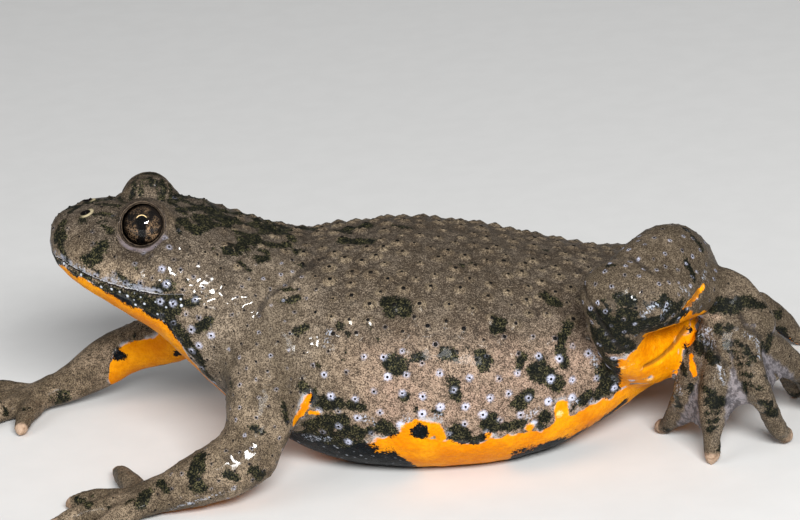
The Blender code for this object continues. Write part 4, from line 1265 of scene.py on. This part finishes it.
# Materials.
class Bench:
    """Short ways to place and join the nodes of one tree."""

    def __init__(self, tree):
        self.tree = tree

    def node(self, kind, **settings):
        made = self.tree.nodes.new(kind)
        for key, value in settings.items():
            setattr(made, key, value)
        return made

    def join(self, source, socket):
        """Feeds a socket from another one, or sets it to a number or a colour."""
        if isinstance(source, bpy.types.NodeSocket):
            self.tree.links.new(source, socket)
        elif isinstance(source, tuple) and socket.type == "RGBA":
            socket.default_value = (*source, 1)
        else:
            socket.default_value = source

    def finish(self, shader, **values):
        """Sets a shader's sockets, whose names are written with _ for each space."""
        for name, value in values.items():
            self.join(value, shader.inputs[name.replace("_", " ")])

    def math(self, operation, *values):
        made = self.node("ShaderNodeMath", operation=operation)
        for value, socket in zip(values, made.inputs):
            self.join(value, socket)
        return made.outputs[0]

    def times(self, first, *others):
        for other in others:
            first = self.math("MULTIPLY", first, other)
        return first

    def plus(self, first, second):
        return self.math("ADD", first, second)

    def rest(self, share):
        return self.math("SUBTRACT", 1.0, share)

    def ramp(self, value, low, high, to_low=0.0, to_high=1.0):
        """value from low to high becomes to_low to to_high, smoothly and no further."""
        made = self.node("ShaderNodeMapRange", interpolation_type="SMOOTHSTEP")
        for given, socket in zip((value, low, high, to_low, to_high), made.inputs):
            self.join(given, socket)
        return made.outputs[0]

    def fade(self, value, low, high, most=1.0):
        """most where value is below low, and nothing above high."""
        return self.ramp(value, low, high, most, 0.0)

    def blend(self, share, first, second):
        made = self.node("ShaderNodeMix", data_type="RGBA")
        for given, socket in zip((share, first, second), (made.inputs[0], made.inputs[6], made.inputs[7])):
            self.join(given, socket)
        return made.outputs[2]

    def coats(self, colour, *layers):
        """Lays coats over a colour, each with its share and its own colour."""
        for share, paint in layers:
            colour = self.blend(share, colour, paint)
        return colour

    def field(self, name):
        return self.node("ShaderNodeAttribute", attribute_name=name).outputs["Fac"]

    def place(self):
        """Where the surface is, in millimetres."""
        made = self.node("ShaderNodeVectorMath", operation="SCALE")
        self.join(self.node("ShaderNodeTexCoord").outputs["Object"], made.inputs[0])
        self.join(1 / MM, made.inputs["Scale"])
        return made.outputs[0]

    def texture(self, kind, place, size, **settings):
        made = self.node(kind, **settings)
        self.join(place, made.inputs["Vector"])
        by_socket = isinstance(size, bpy.types.NodeSocket)
        self.join(self.math("DIVIDE", 1.0, size) if by_socket else 1.0 / size, made.inputs["Scale"])
        return made

    def noise(self, place, size, detail=3.0, roughness=0.55):
        """Noise of about size millimetres, from 0 to 1."""
        made = self.texture("ShaderNodeTexNoise", place, size)
        self.finish(made, Detail=detail, Roughness=roughness)
        return made.outputs["Fac"]

    def cells(self, place, size, feature="F1"):
        return self.texture("ShaderNodeTexVoronoi", place, size, feature=feature).outputs["Distance"]

    def bump(self, height, strength, distance):
        made = self.node("ShaderNodeBump")
        self.finish(made, Height=height, Strength=strength, Distance=distance * MM)
        return made.outputs[0]

    def use(self, tree, **values):
        made = self.node("ShaderNodeGroup", node_tree=tree)
        self.finish(made, **values)
        return made


def group(name, inputs, outputs):
    """A group of nodes that takes and gives numbers, and is built once for all that use it."""
    made = bpy.data.node_groups.new(name, "ShaderNodeTree")
    for way, labels in (("INPUT", inputs), ("OUTPUT", outputs)):
        for label in labels:
            made.interface.new_socket(label, in_out=way, socket_type="NodeSocketFloat")
    given, result = made.nodes.new("NodeGroupInput"), made.nodes.new("NodeGroupOutput")
    return made, Bench(made), given.outputs, result.inputs


def granular_edge():
    """A marking's field, broken up along its edge by grains, as a mask."""
    numbers = ("Field", "Grain", "Scatter", "Softness")
    tree, b, given, result = group("granular edge", numbers, ("Mask", "Depth"))
    grains = b.noise(b.place(), given["Grain"], 4.0, 0.65)
    shift = b.times(b.math("SUBTRACT", grains, 0.5), given["Scatter"], 2.0)
    depth = b.plus(given["Field"], shift)
    b.join(b.ramp(depth, b.times(given["Softness"], -1.0), given["Softness"]), result["Mask"])
    b.join(depth, result["Depth"])
    return tree


def moist_grain():
    """The fine relief of moist skin and how its wetness varies, for a given grain size."""
    tree, b, given, result = group("moist grain", ("Grain", "Wetness"), ("Height", "Roughness", "Film"))
    place = b.place()
    pebbles = b.cells(place, given["Grain"])
    fine = b.noise(place, b.times(given["Grain"], 0.6))
    wet = b.times(b.noise(place, 1.4), given["Wetness"])
    b.join(b.math("SUBTRACT", b.times(fine, 0.6), b.times(pebbles, 0.7)), result["Height"])
    b.join(b.plus(b.times(fine, 0.16), b.ramp(wet, 0.12, 0.5, 0.58, 0.42)), result["Roughness"])
    b.join(b.ramp(wet, 0.3, 0.4), result["Film"])
    return tree


def new_material(name):
    made = bpy.data.materials.new(name)
    made.use_nodes = True
    return made, Bench(made.node_tree), made.node_tree.nodes["Principled BSDF"]


def skin_material(edge_group, grain_group):
    """Freckled tan, with blotches and orange over it, and then the small things of face and feet."""
    made, b, shader = new_material("toad skin")
    place = b.place()
    broad = b.noise(place, 2.6, 4.0)
    middle = b.noise(place, 1.1, 4.0, 0.7)
    fine = b.noise(place, 0.4, 3.0, 0.7)
    dust = b.noise(place, 0.06, 1.0, 0.5)
    freckle = b.plus(b.times(b.noise(place, 0.095, 2.0, 0.7), 0.8), b.times(fine, 0.2))
    back, limbs, hind, webs = (b.field(name) for name in ("back", "limb", "hind", "web"))
    cracks = b.times(b.fade(b.cells(place, 1.3, "DISTANCE_TO_EDGE"), 0.0, 0.09, 0.6), b.ramp(back, 0.1, 0.5))
    brown = b.coats(
        b.blend(b.ramp(broad, 0.36, 0.66), *TAN),
        (b.times(b.field("grey"), 0.45), SHOULDER_GREY),
        (b.times(b.field("pink"), b.ramp(broad, 0.3, 0.7, 0.95, 0.6)), FLANK_PINK),
        # The back darkened: partly its own colour, partly painted shade over the top.
        (b.times(back, 0.85), b.blend(b.ramp(broad, 0.35, 0.65), *BACK_VALLEYS)),
        # Paler tops on upward-facing warts: partly their own pale tips, partly painted light.
        (b.ramp(b.field("cone"), 0.03, 0.4, 0.0, 0.85), b.blend(b.ramp(broad, 0.35, 0.65), *WART_TOPS)),
        (b.times(limbs, b.ramp(broad, 0.35, 0.6, 0.5, 0.15)), LIMB_BROWN),
        (b.times(hind, 0.5), HIND_BROWN),
        (b.fade(middle, 0.36, 0.56, 0.4), CLOUDS),
        (b.fade(fine, 0.36, 0.56, 0.45), FINE_CLOUDS),
        (b.fade(freckle, 0.41, 0.54, 0.9), DARK_FRECKLES),
        (b.times(cracks, b.ramp(middle, 0.4, 0.55)), CRACKS),
        (b.times(b.ramp(freckle, 0.53, 0.64, 0.0, 0.4), b.rest(b.times(limbs, 0.4))), LIGHT_FRECKLES),
        (b.fade(dust, 0.48, 0.6, 0.3), DARK_DUST),
    )

    spots = b.use(edge_group, Field=b.field("blotch"), Grain=0.17, Scatter=0.52, Softness=0.08)
    spots = spots.outputs["Mask"]
    olive = b.ramp(b.noise(place, 0.5, 3.0, 0.6), 0.4, 0.6, 0.2, 1.0)
    olive = b.times(olive, b.ramp(b.noise(place, 0.12, 2.0, 0.7), 0.48, 0.62))
    dark = b.blend(b.times(olive, b.rest(b.times(hind, 0.5))), *BLOTCHES)
    starry = b.times(b.field("halo"), b.ramp(b.noise(place, 0.14), 0.3, 0.68, 0.6, 1.7))
    brown = b.coats(brown, (spots, dark), (b.ramp(starry, 0.06, 0.75, 0.0, 0.8), WART_HALOS))
    belly = b.use(edge_group, Field=b.field("belly"), Grain=0.5, Scatter=0.22, Softness=0.05)
    underside, depth = belly.outputs["Mask"], belly.outputs["Depth"]
    orange = b.coats(
        b.blend(b.ramp(b.noise(place, 2.4), 0.35, 0.7), *ORANGE_SKIN),
        (b.fade(b.noise(place, 0.3), 0.35, 0.6, 0.3), DEEP_ORANGE),
        (b.ramp(starry, 0.2, 0.7, 0.0, 0.6), PALE_ORANGE),
        (spots, b.blend(b.ramp(olive, 0.2, 1.0, 0.0, 0.25), *BELLY_BLACK)),
    )
    rim = b.times(b.ramp(depth, -0.45, -0.02), b.fade(depth, 0.02, 0.14))
    rim = b.times(rim, b.ramp(b.noise(place, 0.9), 0.46, 0.6))
    rim = b.times(rim, b.ramp(spots, 0.0, 1.0, 1.0, 0.1), b.rest(hind))
    # Bluish-white specks: partly the skin's own, partly painted highlights of wet skin.
    bloom = b.times(b.field("bloom"), b.ramp(b.noise(place, 0.2, 3.0, 0.65), 0.5, 0.6))

    lip, lid, nostril = (b.field(name) for name in ("lip", "lid", "nostril"))
    band = b.times(b.ramp(lip, 0.08, 0.14), b.fade(lip, 0.34, 0.62))
    band = b.times(band, b.ramp(b.noise(place, 0.45, 3.0, 0.7), 0.44, 0.6, 0.0, 0.75))
    lip_line = b.times(b.ramp(lip, 0.03, 0.07), b.fade(lip, 0.11, 0.17))
    rings = b.math("SINE", b.times(b.plus(lid, b.times(fine, 0.2)), 40.0))
    margin = b.blend(b.ramp(rings, -0.2, 0.8), *LID_RINGS)
    crescent = b.times(b.ramp(lid, 1.74, 1.84), b.fade(lid, 1.88, 2.06), b.field("lower_lid"))
    crescent = b.times(crescent, b.ramp(b.noise(place, 0.5, 3.0, 0.7), 0.3, 0.6, 0.35, 1.0))
    tips = b.ramp(b.plus(b.field("digit"), b.times(fine, 0.16)), 0.86, 1.08)
    colour = b.coats(
        brown,
        (underside, orange),
        (b.times(rim, 0.5), PALE_RIM),
        (b.times(bloom, 0.75), BLUISH_SPECKS_AND_SHEEN),
        (band, LIP_BAND),
        (b.times(lip_line, 0.75), LIP_LINE),
        (b.fade(b.math("ABSOLUTE", b.plus(lip, 0.05)), 0.04, 0.13, 0.95), MOUTH_DARK),
        (b.times(b.field("specks"), b.fade(b.cells(place, 0.6), 0.13, 0.24, 0.75)), JAW_SPECKS),
        (b.fade(lid, 1.78, 2.4, 0.4), margin),
        (b.fade(lid, 1.66, 1.88, 0.95), margin),
        (b.times(crescent, 0.5), LID_CRESCENT),
        # The pale hind rim of the nostril: partly its own skin, partly a painted highlight.
        (b.times(b.field("nostril_rim"), b.fade(nostril, 0.5, 0.64), 0.75), NOSTRIL_RIM),
        # Painted shade: the nostril's hole and inner walls turn near-black.
        (b.fade(nostril, 0.34, 0.42), PAINTED_NOSTRIL_SHADE),
        # Painted shade in the creases, over their sunk relief.
        (b.times(b.ramp(b.field("crease"), 0.35, 1.0), 0.6), PAINTED_CREASE_SHADE),
        (b.times(webs, b.fade(underside, 0.0, 1.0, 0.9)), b.blend(b.ramp(fine, 0.4, 0.6), *WEB_SKIN)),
        (b.times(tips, 0.8, b.rest(webs)), b.blend(b.ramp(middle, 0.42, 0.58), *TOE_TIPS)),
    )

    grain = b.use(grain_group, Grain=0.17, Wetness=0.9).outputs
    coat = b.times(b.plus(b.field("wet"), 0.07), grain["Film"])
    b.finish(shader, Base_Color=colour, Roughness=grain["Roughness"], Specular_IOR_Level=0.04)
    b.finish(shader, Coat_Weight=coat, Coat_Roughness=0.1, Coat_IOR=1.4)
    b.finish(shader, Normal=b.bump(grain["Height"], 0.8, 0.06))
    return made


def spine_material(grain_group):
    made, b, shader = new_material("horny wart tip")
    rough = b.use(grain_group, Grain=0.05, Wetness=0.6).outputs["Roughness"]
    horn = b.blend(b.ramp(b.noise(b.place(), 0.9, 2.0), 0.35, 0.65), *HORN)
    b.finish(shader, Base_Color=horn, Roughness=rough, Specular_IOR_Level=0.1)
    return made


def iris_material():
    """Near-black iris with gold veins, round a dark pupil with a stem below and a gold ring above."""
    made, b, shader = new_material("iris and pupil")
    gaze_place = b.node("ShaderNodeAttribute", attribute_name="gaze_place").outputs["Vector"]
    split = b.node("ShaderNodeSeparateXYZ")
    b.join(gaze_place, split.inputs[0])
    across, up = split.outputs[0], split.outputs[1]
    across_squared, raised = b.times(across, across), b.math("SUBTRACT", up, 0.1)
    radius = b.math("SQRT", b.plus(across_squared, b.times(up, up)))
    drop = b.math("SQRT", b.plus(across_squared, b.math("POWER", b.times(raised, 0.9), 2.0)))
    pupil_edge = b.plus(0.19, b.times(b.ramp(up, -0.1, 0.3), 0.06))
    stem = b.math("SUBTRACT", b.math("ABSOLUTE", across), b.ramp(up, -0.75, 0.1, 0.06, 0.15))
    outside = b.math("MINIMUM", b.math("SUBTRACT", drop, pupil_edge), b.math("MAXIMUM", stem, raised))
    turned = b.node("ShaderNodeVectorMath", operation="ADD")
    b.join(gaze_place, turned.inputs[0])
    turned.inputs[1].default_value = (3.1, 1.7, 0.4)
    flecks = b.noise(turned.outputs[0], 0.05, 4.0, 0.7)
    veins = b.fade(b.cells(turned.outputs[0], 0.085, "DISTANCE_TO_EDGE"), 0.03, 0.14)
    spread = b.times(b.ramp(b.noise(gaze_place, 0.3, 2.0), 0.38, 0.6), b.ramp(up, -0.5, 0.3, 1.0, 0.35))
    gold = b.times(veins, b.ramp(flecks, 0.36, 0.52), spread, b.ramp(outside, 0.02, 0.1))
    ring = b.times(b.ramp(outside, 0.0, 0.012), b.fade(outside, 0.022, 0.04), b.ramp(up, 0.26, 0.32))
    colour = b.coats(
        b.blend(gold, *IRIS_GOLD),
        (ring, GOLD_RING),
        (b.fade(outside, -0.01, 0.008), PUPIL),
        (b.ramp(radius, 0.72, 0.8), IRIS_RIM),
    )
    b.finish(shader, Base_Color=colour, Roughness=b.ramp(flecks, 0.3, 0.7, 0.8, 0.6), Specular_IOR_Level=0.05)
    b.finish(shader, Normal=b.bump(flecks, 0.5, 0.05))
    return made


def cornea_material():
    """Clear, wet and only seen by what it reflects."""
    made, b, shader = new_material("cornea")
    fresnel = b.node("ShaderNodeFresnel")
    b.finish(fresnel, IOR=WATER_IOR)
    film = b.ramp(b.noise(b.place(), 0.5, 2.0), 0.3, 0.7, 0.015, 0.05)
    b.finish(shader, Base_Color=(1, 1, 1), Metallic=1.0, Roughness=film, Alpha=fresnel.outputs[0])
    return made


def floor_material():
    made, b, shader = new_material("pale board")
    b.finish(shader, Base_Color=b.blend(b.ramp(b.noise(b.place(), 3.0), 0.3, 0.7), *BOARD), Roughness=0.85)
    return made


# The studio.
def softbox(name, place, width, height, power, mirrored_in_skin, into):
    light = bpy.data.lights.new(name, "AREA")
    light.shape = "RECTANGLE"
    light.energy = power
    light.size = width
    light.size_y = height
    made = placed(name, light, into)
    made.location = Vector(place)
    made.rotation_euler = (Vector(LIT_PLACE) - made.location).to_track_quat("-Z", "Y").to_euler()
    made.visible_glossy = mirrored_in_skin


def studio(into):
    mesh = bpy.data.meshes.new("floor")
    half = FLOOR_WIDTH / 2
    corners = [(-half, -half, 0), (half, -half, 0), (half, half, 0), (-half, half, 0)]
    mesh.from_pydata(corners, [], [(0, 1, 2, 3)])
    mesh.materials.append(floor_material())
    placed("floor", mesh, into)
    for name, lamp in LAMPS.items():
        softbox(name, *lamp, into)
    world = bpy.data.worlds.new("studio")
    world.use_nodes = True
    room = world.node_tree.nodes["Background"]
    room.inputs["Color"].default_value = ROOM_LIGHT
    room.inputs["Strength"].default_value = ROOM_STRENGTH
    bpy.context.scene.world = world
    bpy.context.scene.view_settings.view_transform = "Standard"


def camera(into):
    data = bpy.data.cameras.new("camera")
    data.lens = LENS
    data.sensor_width = SENSOR
    data.clip_start = 0.01
    made = placed("camera", data, into)
    made.matrix_world = camera_turn()
    bpy.context.scene.camera = made


def main():
    stock = bpy.data.collections.new("looks")
    bpy.context.scene.collection.children.link(stock)
    camera(stock)
    studio(stock)
    edge_group, grain_group = granular_edge(), moist_grain()

    skin, tree = skin_mesh(stock)
    skin.name = "toad_skin"
    toad, chosen, size = shape_skin(skin.data, tree)
    mark_skin(skin.data, toad, tree)
    skin.data.materials.clear()
    skin.data.materials.append(skin_material(edge_group, grain_group))
    skin.data.shade_smooth()
    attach(skin, "root")
    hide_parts(*FLESH_NODES)

    thorns = spines(skin.data, toad, chosen, size, stock)
    thorns.data.materials.append(spine_material(grain_group))
    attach(thorns, "root")

    iris, clear = iris_material(), cornea_material()
    for side in SIDES:
        eyeball, cornea = eye_pair(side, stock)
        eyeball.data.materials.append(iris)
        cornea.data.materials.append(clear)
        for piece in (eyeball, cornea):
            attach(piece, "root")
        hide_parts(f"eye_{side.name}")


main()
